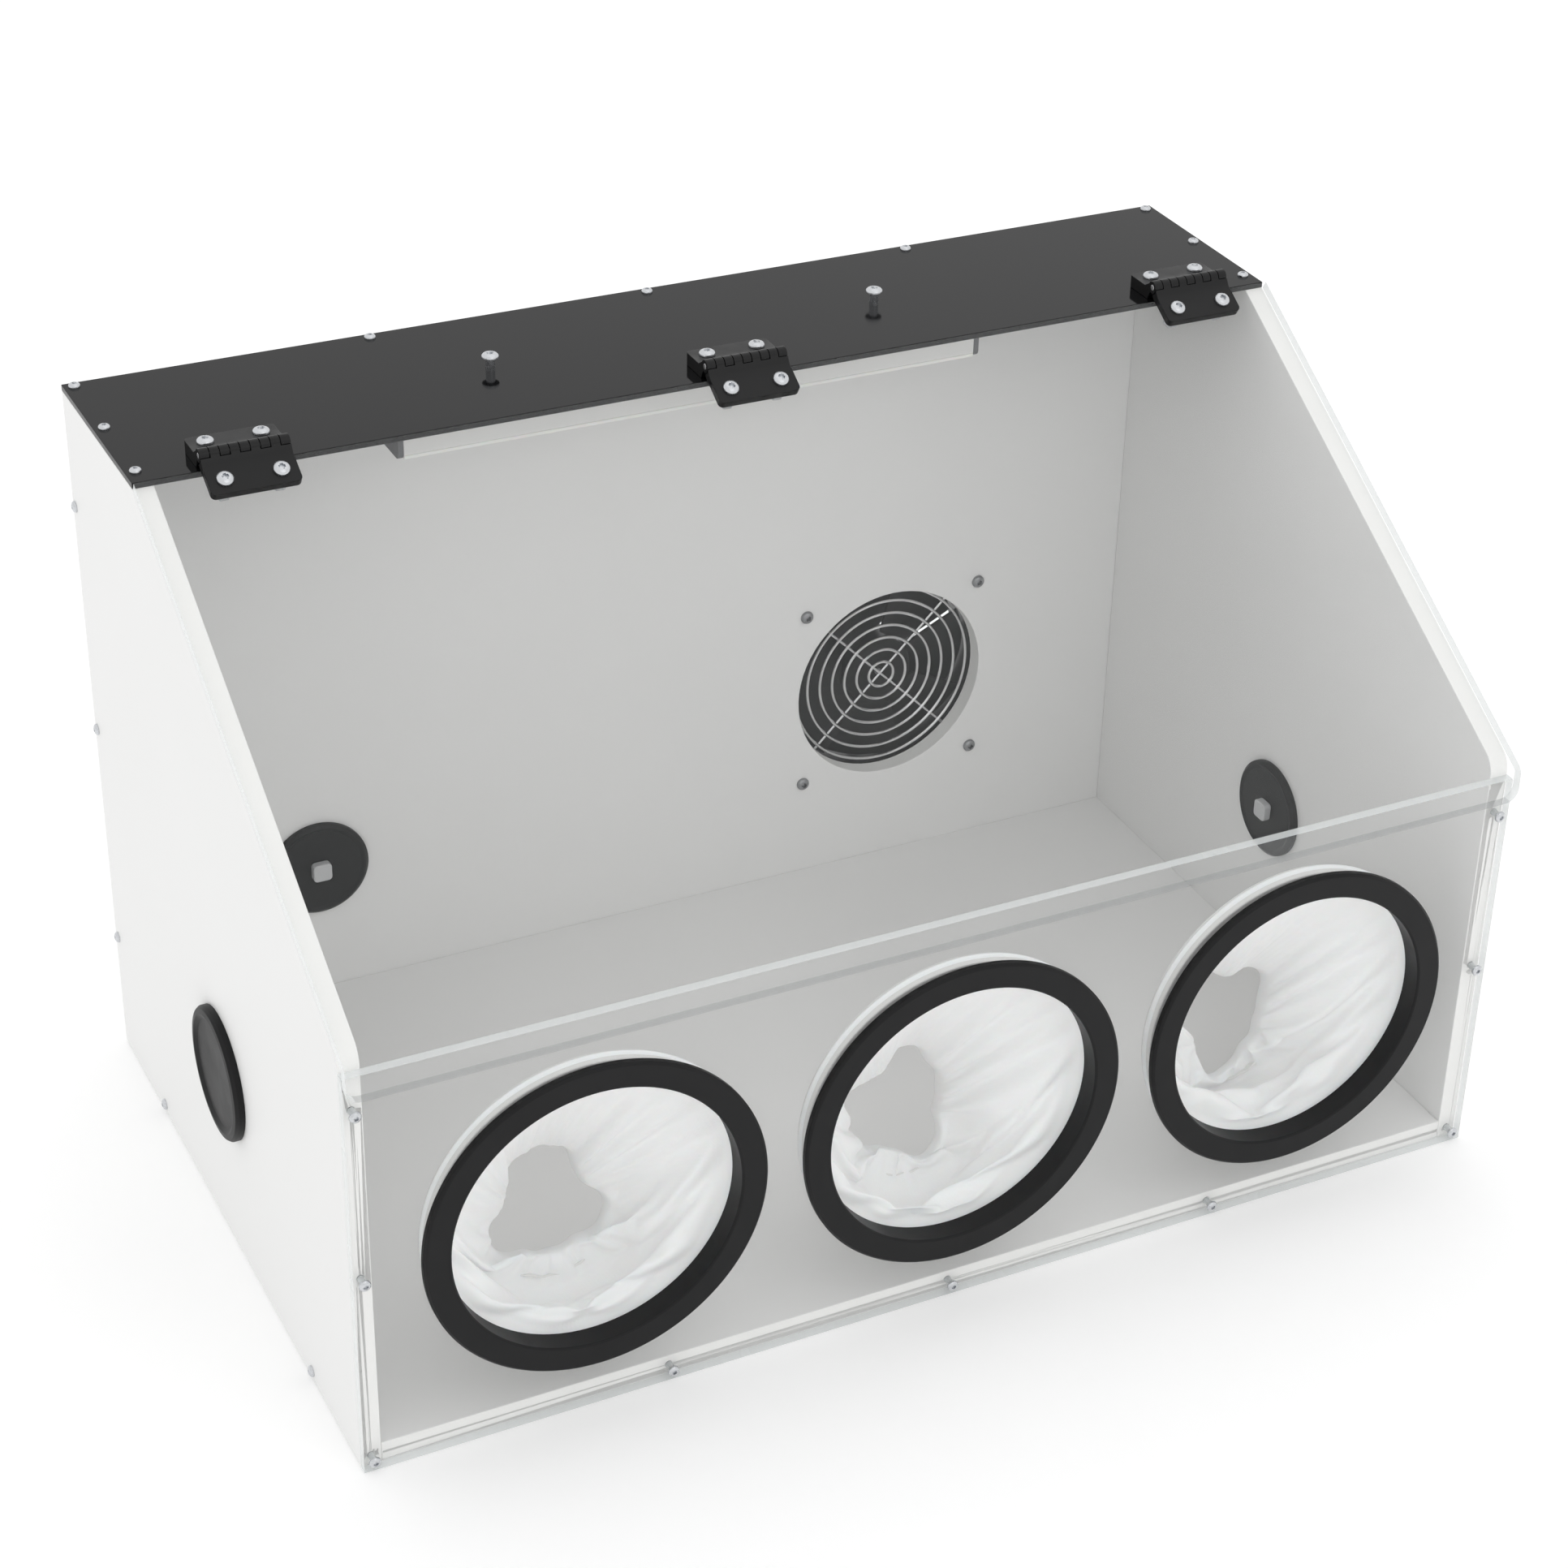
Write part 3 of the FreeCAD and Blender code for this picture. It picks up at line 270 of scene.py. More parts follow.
# Cast clear acrylic; the cut edge gathers light, so it reads paler and denser than the face.
CLEAR_FACE = ClearSheet("clear_cast_acrylic", "#f4f7f7", 0.008, 0.14, 0.03)
CLEAR_EDGE = ClearSheet("clear_acrylic_cut_edge", "#e9eded", 0.52, 0.85, 0.16)
CLEAR_UNDER = ClearSheet("clear_acrylic_shaded_edge", "#8e9294", 0.3, 0.5, 0.16)
# Injection-moulded black ABS with a fine spark texture, drawn at 0.6 mm where the real is 0.2 mm.
BLACK_ABS = Finish("moulded_black_abs", "#101011", 0.46, Grain.SPARKED, 0.6, 0.012, 1.53,
                   cloud_mm=30, cloud=0.08, specular=0.22)
# Glass-filled nylon: darker, a little glossier, with the fibres' streaks just showing.
HINGE_NYLON = Finish("glass_filled_nylon", "#0c0c0d", 0.36, Grain.SPARKED, 0.5, 0.014, 1.53,
                     cloud_mm=8, cloud=0.12, specular=0.28)
# White moulded clamp ring, plain satin.
CLAMP_WHITE = Finish("moulded_white_abs", "#e6e6e4", 0.5, Grain.SPARKED, 0.6, 0.01, 1.53)
# Coated white polyester taffeta: soft, bright, with its threads drawn at 1.1 mm, not 0.3 mm.
SLEEVE_CLOTH = Finish("white_polyester_taffeta", "#ffffff", 0.72, Grain.WOVEN, 1.1, 0.03, 1.5,
                      cloud_mm=18, cloud=0.01, sheen=0.25, subsurface=0.12)
# Knitted elastic, ribbed across its length every 1.2 mm.
CUFF_ELASTIC = Finish("knitted_elastic", "#efefed", 0.85, Grain.KNITTED, 1.2, 0.12, 1.5, sheen=0.3)
# Zinc plate: bright and slightly blue, with the tumbling's soft unevenness.
ZINC_STEEL = Finish("zinc_plated_steel", "#cfd1d4", 0.27, Grain.DRAWN, 0.5, 0.006, metallic=1.0,
                    cloud_mm=3, cloud=0.06, wear=0.08)
# Ground pin: the finest lines round a bright bar.
GROUND_STEEL = Finish("ground_steel", "#b4b5b8", 0.22, Grain.DRAWN, 0.4, 0.004, metallic=1.0)
# Nickel-washed dull screws that hold the fan.
DULL_STEEL = Finish("dull_nickel_steel", "#9a9b9d", 0.42, Grain.DRAWN, 0.5, 0.01, metallic=1.0,
                    cloud_mm=3, cloud=0.1)
# Bright nickel plate over drawn wire.
GUARD_WIRE = Finish("nickel_plated_wire", "#dcdcdd", 0.2, Grain.DRAWN, 0.6, 0.006, metallic=1.0,
                    cloud_mm=5, cloud=0.04)
# Black glass-filled PBT fan moulding.
FAN_PBT = Finish("moulded_black_pbt", "#111112", 0.4, Grain.SPARKED, 0.5, 0.012, 1.55,
                 cloud_mm=15, cloud=0.1, specular=0.3)
# Enamelled copper windings.
WINDING = Finish("enamelled_copper", "#a8582e", 0.35, Grain.WOUND, 0.7, 0.2, metallic=1.0)
# White polyester powder coat with its orange peel at about 2 mm.
POWDER_COAT = Finish("white_powder_coat", "#e9e9e7", 0.48, Grain.ROLLED, 2.0, 0.012, 1.5)
# Opal acrylic: even, slightly translucent.
OPAL = Finish("opal_acrylic", "#f7f7f3", 0.33, Grain.ROLLED, 3.0, 0.004, subsurface=0.2)
# Grey moulded caps and knobs.
GREY_ABS = Finish("moulded_grey_abs", "#c3c4c5", 0.45, Grain.SPARKED, 0.6, 0.012, 1.53,
                  cloud_mm=6, cloud=0.04)
CAP_GREY = Finish("moulded_dark_grey_abs", "#6e6f71", 0.5, Grain.SPARKED, 0.6, 0.012, 1.53)
# White solder mask, with the yellow phosphor of the lamps on it.
SOLDER_MASK = Finish("white_solder_mask", "#eff2ed", 0.3, Grain.ROLLED, 1.0, 0.006)
PHOSPHOR = Finish("led_phosphor", "#e9c944", 0.35, Grain.ROLLED, 0.8, 0.006)
# Studio paper for the floor and the sweep behind.
PAPER = Finish("matt_white_paper", "#fdfdfd", 0.9, Grain.ROLLED, 4.0, 0.004, cloud=0.0, wear=0.02,
               glow=0.1)


# ---- mesh helpers -----------------------------------------------------------------------------------

def merged(node: str) -> bmesh.types.BMesh:
    """Copy a CAD node's triangles into one closed mesh with flat areas joined.

    Args:
        node: The CAD node's name.

    Returns:
        The merged mesh.
    """
    bm = bmesh.new()
    bm.from_mesh(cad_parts[node].data)
    bmesh.ops.remove_doubles(bm, verts=bm.verts, dist=0.002 * MM)
    bmesh.ops.dissolve_limit(bm, angle_limit=math.radians(0.6), verts=bm.verts, edges=bm.edges,
                             use_dissolve_boundaries=False)
    return bm


def ease_edges(bm: bmesh.types.BMesh, radius_mm: float, segments: int = 2,
               least: float = math.radians(40)) -> None:
    """Round every edge that is sharper than an angle.

    Args:
        bm: The mesh.
        radius_mm: The rounding's width in millimetres.
        segments: How many strips make the rounding.
        least: The smallest angle between two faces that is rounded.
    """
    sharp = [e for e in bm.edges if len(e.link_faces) == 2 and e.calc_face_angle() > least]
    bmesh.ops.bevel(bm, geom=sharp, offset=radius_mm * MM, offset_type="OFFSET", affect="EDGES",
                    segments=segments, profile=0.5, material=-1, clamp_overlap=False)


def turned(profile_mm: Iterable[tuple[float, float]], steps: int = 96,
           closed: bool = True) -> bmesh.types.BMesh:
    """Turn an outline about Z.

    Args:
        profile_mm: Pairs of radius and height in millimetres.
        steps: How many steps go round.
        closed: Whether the last point joins the first.

    Returns:
        The turned mesh with its normals outward.
    """
    bm = bmesh.new()
    points = [bm.verts.new((radius * MM, 0, height * MM)) for radius, height in profile_mm]
    pairs = list(zip(points, points[1:])) + ([(points[-1], points[0])] if closed else [])
    edges = [bm.edges.new(pair) for pair in pairs]
    bmesh.ops.spin(bm, geom=points + edges, cent=(0, 0, 0), axis=(0, 0, 1), dvec=(0, 0, 0),
                   angle=math.tau, steps=steps, use_merge=True, use_normal_flip=False,
                   use_duplicate=False)
    bmesh.ops.remove_doubles(bm, verts=bm.verts, dist=0.002 * MM)
    bmesh.ops.recalc_face_normals(bm, faces=bm.faces)
    return bm


def join(parts: Iterable[bmesh.types.BMesh]) -> bmesh.types.BMesh:
    """Put several meshes into one and free them.

    Args:
        parts: The meshes.

    Returns:
        The joined mesh.
    """
    whole = bmesh.new()
    for part in parts:
        carrier = bpy.data.meshes.new("carrier")
        part.to_mesh(carrier)
        whole.from_mesh(carrier)
        bpy.data.meshes.remove(carrier)
        part.free()
    return whole


def stand(spot: Vector, up: Vector) -> Matrix:
    """The matrix that carries a piece standing on the origin to a spot, its Z along a direction."""
    return Matrix.Translation(spot) @ up.to_track_quat("Z", "Y").to_matrix().to_4x4()


def solids(node: str, up: Vector) -> list[tuple[Vector, float, float]]:
    """Find each separate solid of a CAD node of fasteners.

    Args:
        node: The CAD node's name.
        up: The direction that the fasteners' heads face.

    Returns:
        For each solid the middle of its top, its length and its radius.
    """
    bm = merged(node)
    found = []
    left = set(bm.verts)
    turn = up.to_track_quat("Z", "Y").inverted()
    while left:
        queue = [left.pop()]
        island = []
        while queue:
            vert = queue.pop()
            island.append(turn @ vert.co)
            for edge in vert.link_edges:
                other = edge.other_vert(vert)
                if other in left:
                    left.discard(other)
                    queue.append(other)
        low = Vector(min(p[i] for p in island) for i in range(3))
        high = Vector(max(p[i] for p in island) for i in range(3))
        top = turn.inverted() @ Vector(((low.x + high.x) / 2, (low.y + high.y) / 2, high.z))
        found.append((top, high.z - low.z, (high.x - low.x) / 2))
    bm.free()
    return found


def make_piece(bm: bmesh.types.BMesh, name: str, body: str, replaces: Iterable[str] = (),
               smooth: bool = True) -> bpy.types.Object:
    """Turn a mesh into a piece that rides on a body.

    Args:
        bm: The finished mesh, already in its place; it is freed.
        name: The piece's name.
        body: The CAD body that it rides on.
        replaces: The CAD nodes that it stands for.
        smooth: Whether curved areas are shaded smooth and flat ones kept flat.

    Returns:
        The new object.
    """
    mesh = bpy.data.meshes.new(name)
    bm.to_mesh(mesh)
    bm.free()
    piece = bpy.data.objects.new(name, mesh)
    bpy.context.scene.collection.objects.link(piece)
    if smooth:
        mesh.shade_smooth()
        mesh.set_sharp_from_angle(angle=SHARP)
        weights = piece.modifiers.new("even_shading", "WEIGHTED_NORMAL")
        weights.keep_sharp = True
    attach(piece, body)
    if replaces:
        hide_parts(*replaces)
    LOG.info("%s: %d faces on %s", name, len(mesh.polygons), body)
    return piece


def dress_piece(piece: bpy.types.Object, slot: str, *finishes: Finish | ClearSheet) -> None:
    """Give a piece its materials, in the order of its faces' numbers."""
    for finish in finishes:
        piece.data.materials.append(finish.material())


@dataclass
class SubAssembly:
    """A group of pieces; each kind builds its meshes and dresses them."""

    pieces: dict[str, bpy.types.Object] = field(default_factory=dict, init=False)

    def build(self) -> None:
        """Build the meshes."""
        raise NotImplementedError

    def dress(self) -> None:
        """Give the pieces their finishes."""
        raise NotImplementedError


# ---- cabinet ----------------------------------------------------------------------------------------

@dataclass
class Boards(SubAssembly):
    """The four white boards, their sawn edges eased and showing the core."""

    ease_mm: float = 0.5
    thickness: dict[str, int] = field(default_factory=lambda: {
        "left_side_panel": 0, "right_side_panel": 0, "back_panel": 1, "floor_panel": 2})

    def build(self) -> None:
        """Copy each board, mark its sawn edges and ease them."""
        for node, axis in self.thickness.items():
            bm = merged(node)
            for face in bm.faces:
                face.material_index = 0 if abs(face.normal[axis]) > 0.9 else 1
            ease_edges(bm, self.ease_mm, 3)
            self.pieces[node] = make_piece(bm, f"{node}_board", "cabinet", [node])

    def dress(self) -> None:
        """Skin on the faces, foamed core on the edges."""
        for piece in self.pieces.values():
            dress_piece(piece, "white_board", BOARD_SKIN, BOARD_CORE)


@dataclass
class TopPanel(SubAssembly):
    """The glossy black sheet along the top."""

    ease_mm: float = 0.25

    def build(self) -> None:
        """Copy the sheet, mark its rim and take the sharpness off."""
        bm = merged("top_panel")
        for face in bm.faces:
            face.material_index = 0 if abs(face.normal.z) > 0.9 else 1
        ease_edges(bm, self.ease_mm)
        self.pieces["top"] = make_piece(bm, "top_panel_sheet", "cabinet", ["top_panel"])

    def dress(self) -> None:
        """Polished face, duller rim."""
        dress_piece(self.pieces["top"], "black_sheet", TOP_SHEET, TOP_RIM)


@dataclass
class ClearPanels(SubAssembly):
    """The front window and the bent lid, with cut edges that catch the light."""

    ease_mm: float = 0.3

    def build(self) -> None:
        """Copy both sheets, mark their edges and ease them."""
        bm = merged("front_window")
        for face in bm.faces:
            face.material_index = 0 if abs(face.normal.y) > 0.9 else 1
        ease_edges(bm, self.ease_mm)
        self.pieces["window"] = make_piece(bm, "front_window_sheet", "cabinet", ["front_window"])
        bm = merged("lid_window")
        low = min(v.co.z for v in bm.verts)
        slope = Vector((0, -math.sin(math.atan(0.5988)), math.cos(math.atan(0.5988))))
        for face in bm.faces:
            along_sheet = abs(face.normal.dot(slope)) > 0.9 or abs(face.normal.y) > 0.9
            bent = abs(face.normal.x) < 0.1 and face.calc_area() > 30 * MM * MM
            face.material_index = 0 if along_sheet or bent else 1
            if face.normal.z < -0.9 and face.calc_center_median().z < low + 1 * MM:
                face.material_index = 2
        ease_edges(bm, self.ease_mm)
        self.pieces["lid"] = make_piece(bm, "lid_window_sheet", "lid", ["lid_window"])

    def dress(self) -> None:
        """Clear faces, denser cut edges, and a shaded edge under the lip."""
        for piece in self.pieces.values():
            dress_piece(piece, "clear_acrylic", CLEAR_FACE, CLEAR_EDGE, CLEAR_UNDER)


# ---- fasteners --------------------------------------------------------------------------------------

@dataclass(frozen=True)
class PanHead:
    """A pan-head screw that hangs below its seat; millimetres, except the grid's count of cells."""

    radius: float
    height: float
    shank: float
    length: float
    cells: int = 8

    def cap(self) -> bmesh.types.BMesh:
        """Make the head with its cross recess pressed in, and the shank under it.

        Returns:
            The screw, standing on the origin by the underside of its head.
        """
        bm = bmesh.new()
        half = self.radius * 0.8 * MM
        bmesh.ops.create_grid(bm, x_segments=self.cells, y_segments=self.cells, size=half)
        for vert in bm.verts:
            reach = max(abs(vert.co.x), abs(vert.co.y)) / half
            if reach > 0.6:
                vert.co.xy = vert.co.xy.normalized() * reach * half
        arm = 2 * half / self.cells * 0.6
        slot = [f for f in bm.faces
                if f.calc_center_median().xy.length < half * 0.62
                and min(abs(f.calc_center_median().x), abs(f.calc_center_median().y)) < arm]
        pressed = bmesh.ops.extrude_face_region(bm, geom=slot)
        sunk = [g for g in pressed["geom"] if isinstance(g, bmesh.types.BMVert)]
        bmesh.ops.delete(bm, geom=slot, context="FACES_ONLY")
        bmesh.ops.scale(bm, verts=sunk, vec=(0.72, 0.72, 1))
        bmesh.ops.translate(bm, verts=sunk, vec=(0, 0, -self.height * 0.5 * MM))
        for vert in bm.verts:
            far = vert.co.xy.length / (self.radius * MM)
            vert.co.z += self.height * MM * (1 - 0.42 * far * far)
        rim = [e for e in bm.edges if len(e.link_faces) == 1
               and all(v.co.xy.length > half * 0.9 for v in e.verts)]
        for reach, height in ((0.93, 0.52), (1.0, 0.34), (1.0, 0.04), (0.97, 0.0)):
            grown = bmesh.ops.extrude_edge_only(bm, edges=rim)["geom"]
            ring = [g for g in grown if isinstance(g, bmesh.types.BMVert)]
            rim = [g for g in grown if isinstance(g, bmesh.types.BMEdge)]
            for vert in ring:
                vert.co.xy = vert.co.xy.normalized() * reach * self.radius * MM
                vert.co.z = height * self.height * MM
        for reach, height in ((self.shank, 0.0), (self.shank, -self.length + 1.0),
                              (self.shank * 0.6, -self.length)):
            grown = bmesh.ops.extrude_edge_only(bm, edges=rim)["geom"]
            ring = [g for g in grown if isinstance(g, bmesh.types.BMVert)]
            rim = [g for g in grown if isinstance(g, bmesh.types.BMEdge)]
            for vert in ring:
                vert.co.xy = vert.co.xy.normalized() * reach * MM
                vert.co.z = height * MM
        bmesh.ops.contextual_create(bm, geom=rim)
        bmesh.ops.recalc_face_normals(bm, faces=bm.faces)
        return bm

    def at(self, seat: Vector, up: Vector, turn: float) -> bmesh.types.BMesh:
        """Make one screw in its place.

        Args:
            seat: The middle of the head's underside.
            up: The direction that the head faces.
            turn: How far the recess is turned, in radians.

        Returns:
            The placed mesh.
        """
        bm = self.cap()
        place = stand(seat, up) @ Matrix.Rotation(turn, 4, "Z")
        bmesh.ops.transform(bm, matrix=place, verts=bm.verts)
        return bm


@dataclass
class Fasteners(SubAssembly):
    """Every group of screws and bolts, each head with its drive turned its own way."""

    lid_normal: Vector = field(default_factory=lambda: Vector((0, -0.51374, 0.85795)))

    def group(self, node: str, body: str, up: Vector, head: float) -> None:
        """Replace one node of fasteners.

        Args:
            node: The CAD node.
            body: The body that it rides on.
            up: The direction that the heads face.
            head: The head's height in millimetres.
        """
        screws = []
        for index, (top, length, radius) in enumerate(solids(node, up)):
            kind = PanHead(radius / MM, head, radius / MM * 0.54, length / MM - head)
            seat = top - up * head * MM
            screws.append(kind.at(seat, up, index * 0.83))
        self.pieces[node] = make_piece(join(screws), f"{node}_set", body, [node])

    def build(self) -> None:
        """Build each group."""
        up, front = Vector((0, 0, 1)), Vector((0, -1, 0))
        self.group("top_panel_screws", "cabinet", up, 2.0)
        self.group("front_window_screws", "cabinet", front, 2.0)
        self.group("left_side_screws", "cabinet", Vector((-1, 0, 0)), 2.0)
        self.group("right_side_screws", "cabinet", Vector((1, 0, 0)), 2.0)
        self.group("hinge_top_bolts", "cabinet", up, 2.6)
        self.group("hinge_lid_bolts", "lid", self.lid_normal.normalized(), 2.6)
        self.group("lamp_bolts", "cabinet", up, 2.6)
        self.group("fan_bolts", "cabinet", front, 2.6)
        nuts = {"hinge_top_nuts": "cabinet", "hinge_lid_nuts": "lid", "lamp_nuts": "cabinet",
                "fan_nuts": "cabinet"}
        for node, body in nuts.items():
            bm = merged(node)
            ease_edges(bm, 0.25)
            self.pieces[node] = make_piece(bm, f"{node}_set", body, [node])

    def dress(self) -> None:
        """Zinc plate, except the fan's duller screws."""
        for node, piece in self.pieces.items():
            dull = node == "fan_bolts"
            dress_piece(piece, "dark_steel" if dull else "plated_steel",
                        DULL_STEEL if dull else ZINC_STEEL)


@dataclass
class Hinges(SubAssembly):
    """Three moulded hinges with eased edges, on bright pins."""

    ease_mm: float = 0.3

    def build(self) -> None:
        """Copy each leaf and ease its edges; round the pins' ends."""
        for place in PLACES:
            for kind, body in (("fixed", "cabinet"), ("moving", "lid")):
                node = f"hinge_{kind}_leaf_{place}"
                bm = merged(node)
                ease_edges(bm, self.ease_mm)
                self.pieces[node] = make_piece(bm, f"{node}_moulding", body, [node])
        bm = merged("hinge_pins")
        ease_edges(bm, 0.4, 3)
        self.pieces["pins"] = make_piece(bm, "hinge_pin_set", "cabinet", ["hinge_pins"])

    def dress(self) -> None:
        """Nylon leaves and steel pins."""
        for node, piece in self.pieces.items():
            if node == "pins":
                dress_piece(piece, "ground_steel", GROUND_STEEL)
            else:
                dress_piece(piece, "hinge_nylon", HINGE_NYLON)


# ---- arm ports --------------------------------------------------------------------------------------

@dataclass
class ArmPort(SubAssembly):
    """One arm port: collar, clamp ring, cloth sleeve and elastic cuff; sizes in metres."""

    place: str = "middle"
    seed: float = 0.0
    pitch: float = 0.1825
    height: float = 0.1075
    face: float = -0.1815
    mouth: float = 0.0717
    hem: float = 0.0786
    fold_depth: float = 0.0056
    leg_depth: float = 0.0141
    cuff_depth: float = 0.068
    cuff_drop: float = 0.040
    cuff_radius: float = 0.0325
    cuff_tilt: float = math.radians(20)
    cuff_length: float = 0.010
    flat_length: float = 0.084
    flat_cuff_radius: float = 0.050
    around: int = 120
    rows: int = 30
    ruffles: int = 11
    frames: int = 42
    draw_frames: int = 22
    stiffness: float = 3.0

    @property
    def centre(self) -> Vector:
        """The middle of the port on the window's outer face."""
        return Vector((PLACES[self.place] * self.pitch, self.face, self.height))

    def build(self) -> None:
        """Build the four pieces."""
        into = Vector((0, 1, 0))
        place = stand(self.centre, into)
        collar = turned([(69, -3.2), (69.8, -4), (80.8, -4), (82, -2.8), (82, 0), (71, 0), (71, 7.5),
                         (69, 7.5)], 160)
        ease_edges(collar, 0.35, 3, math.radians(30))
        clamp = turned([(72.5, 6.3), (77.8, 6.3), (77.8, 14.2), (72.5, 14.2)], 128)
        ease_edges(clamp, 0.8, 3)
        for name, bm in (("port_collar", collar), ("port_clamp_ring", clamp)):
            bmesh.ops.transform(bm, matrix=place, verts=bm.verts)
            node = f"{name}_{self.place}"
            self.pieces[name] = make_piece(bm, f"{node}_moulding", "cabinet", [node])
        self.pieces["sleeve"] = self.make_sleeve()
        self.pieces["elastic"] = self.make_elastic()

    def cuff_frame(self, back_off: float) -> tuple[Vector, Vector, Vector]:
        """The cuff's middle a distance back from its end, and the cuff's across and up directions."""
        along = Vector((0, math.cos(self.cuff_tilt), -math.sin(self.cuff_tilt)))
        middle = self.centre + Vector((0, self.cuff_depth, -self.cuff_drop)) - along * back_off
        return middle, Vector((1, 0, 0)), Vector((0, math.sin(self.cuff_tilt),
                                                  math.cos(self.cuff_tilt)))

    def ring(self, row: int, angle: float) -> Vector:
        """Where a point of the sleeve starts before the cloth settles.

        Args:
            row: The row, from 0 at the hem's end to the last at the cuff.
            angle: The angle round the sleeve.

        Returns:
            The point.
        """
        held = ((self.hem, self.leg_depth), (self.hem, self.fold_depth + 0.0006),
                (self.mouth, self.fold_depth + 0.0006), (self.mouth, self.leg_depth))
        across, lift = math.cos(angle), math.sin(angle)
        if row < len(held):
            radius, depth = held[row]
            return self.centre + Vector((radius * across, depth, radius * lift))
        share = (row - len(held) + 1) / (self.rows - len(held))
        near = 1 - min(1.0, share / 0.92)
        back = self.cuff_length * (1 - max(0.0, (share - 0.92) / 0.08))
        middle, right, up = self.cuff_frame(back)
        gather = 1 - (1 - near) * (0.13 * (1 + math.sin(3 * angle + self.seed))
                                   + 0.06 * (1 + math.sin(5 * angle + 2.3 * self.seed))
                                   + 0.02 * (1 + math.sin(self.ruffles * angle)))
        start = self.centre + Vector((0, self.leg_depth, 0))
        radius = self.mouth * near + self.cuff_radius * (1 - near) * gather
        tilt_up = (Vector((0, 0, 1)) * near + up * (1 - near)).normalized()
        point = start.lerp(middle, 1 - near) + right * radius * across + tilt_up * radius * lift
        shake = noise.noise_vector(point * 38 + Vector((self.seed, 0, 0))) * 0.0022
        return point + shake * math.sin(math.pi * min(1.0, share))

    def cut_shape(self, row: int, angle: float) -> Vector:
        """The same point of the sleeve as it was cut and sewn, a plain tapered tube."""
        if row < 4:
            return self.ring(row, angle)
        share = (row - 3) / (self.rows - 4)
        radius = self.mouth + (self.flat_cuff_radius - self.mouth) * share
        depth = self.leg_depth + self.flat_length * share
        return self.centre + Vector((radius * math.cos(angle), depth, radius * math.sin(angle)))

    def make_sleeve(self) -> bpy.types.Object:
        """Sew the tube, gather it on the cuff and let it settle under its own weight.

        Returns:
            The finished sleeve.
        """
        bm = bmesh.new()
        grid_uv = bm.loops.layers.uv.new("cloth")
        first = bmesh.ops.create_circle(bm, segments=self.around, radius=self.hem)["verts"]
        edges = list(bm.edges)
        rings = [first]
        for _ in range(1, self.rows):
            grown = bmesh.ops.extrude_edge_only(bm, edges=edges)["geom"]
            rings.append([g for g in grown if isinstance(g, bmesh.types.BMVert)])
            edges = [g for g in grown if isinstance(g, bmesh.types.BMEdge)]
        where = {}
        for row, ring in enumerate(rings):
            for vert in ring:
                where[vert] = (row, math.atan2(vert.co.y, vert.co.x))
        for vert, spot in where.items():
            vert.co = self.cut_shape(*spot)
        width = math.tau * self.mouth
        for face in bm.faces:
            angles = [where[loop.vert][1] for loop in face.loops]
            wraps = max(angles) - min(angles) > math.pi
            for loop, angle in zip(face.loops, angles):
                round_by = angle + math.tau if wraps and angle < 0 else angle
                loop[grid_uv].uv = (round_by / math.tau * width,
                                    where[loop.vert][0] / self.rows * self.flat_length)
        bmesh.ops.recalc_face_normals(bm, faces=bm.faces)
        bm.verts.index_update()
        gathered = {vert.index: self.ring(*spot) for vert, spot in where.items()}
        last = self.rows - 3
        firm = [vert.index for vert, (row, _) in where.items() if row < 4 or row >= last]
        mesh = bpy.data.meshes.new("sleeve_start")
        bm.to_mesh(mesh)
        bm.free()
        cloth = bpy.data.objects.new("sleeve_start", mesh)
        bpy.context.scene.collection.objects.link(cloth)
        self.settle(cloth, gathered, firm)
        return self.finish_sleeve(cloth)

    def settle(self, cloth: bpy.types.Object, gathered: dict[int, Vector],
               firm: list[int]) -> None:
        """Run the cloth simulation and keep its last frame in the mesh.

        Args:
            cloth: The sewn tube in its cut shape, which sets the cloth's real lengths.
            gathered: Where each vertex is when the cuff is drawn in; only the held ones follow it.
            firm: The vertices that the clamp ring and the cuff hold.
        """
        cloth.shape_key_add(name="cut")
        drawn = cloth.shape_key_add(name="drawn_in")
        for index, spot in gathered.items():
            drawn.data[index].co = spot
        for step, share in ((1, 0.0), (self.draw_frames, 1.0)):
            drawn.value = share
            drawn.keyframe_insert("value", frame=step)
        held = cloth.vertex_groups.new(name="held")
        held.add(firm, 1.0, "REPLACE")
        layer = cloth.modifiers.new("cloth", "CLOTH")
        rules = layer.settings
        rules.quality = 7
        rules.mass = 0.1
        rules.tension_stiffness = 20
        rules.compression_stiffness = 20
        rules.shear_stiffness = 5
        rules.bending_stiffness = self.stiffness
        rules.air_damping = 2.0
        rules.vertex_group_mass = "held"
        layer.collision_settings.use_collision = False
        layer.collision_settings.use_self_collision = False
        layer.point_cache.frame_start = 1
        layer.point_cache.frame_end = self.frames
        scene = bpy.context.scene
        for step in range(1, self.frames + 1):
            scene.frame_set(step)
        settled = cloth.evaluated_get(bpy.context.evaluated_depsgraph_get())
        shape = bpy.data.meshes.new_from_object(settled)
        cloth.modifiers.clear()
        cloth.data.shape_keys.animation_data_clear()
        cloth.shape_key_clear()
        cloth.vertex_groups.clear()
        cloth.data = shape
        scene.frame_set(1)

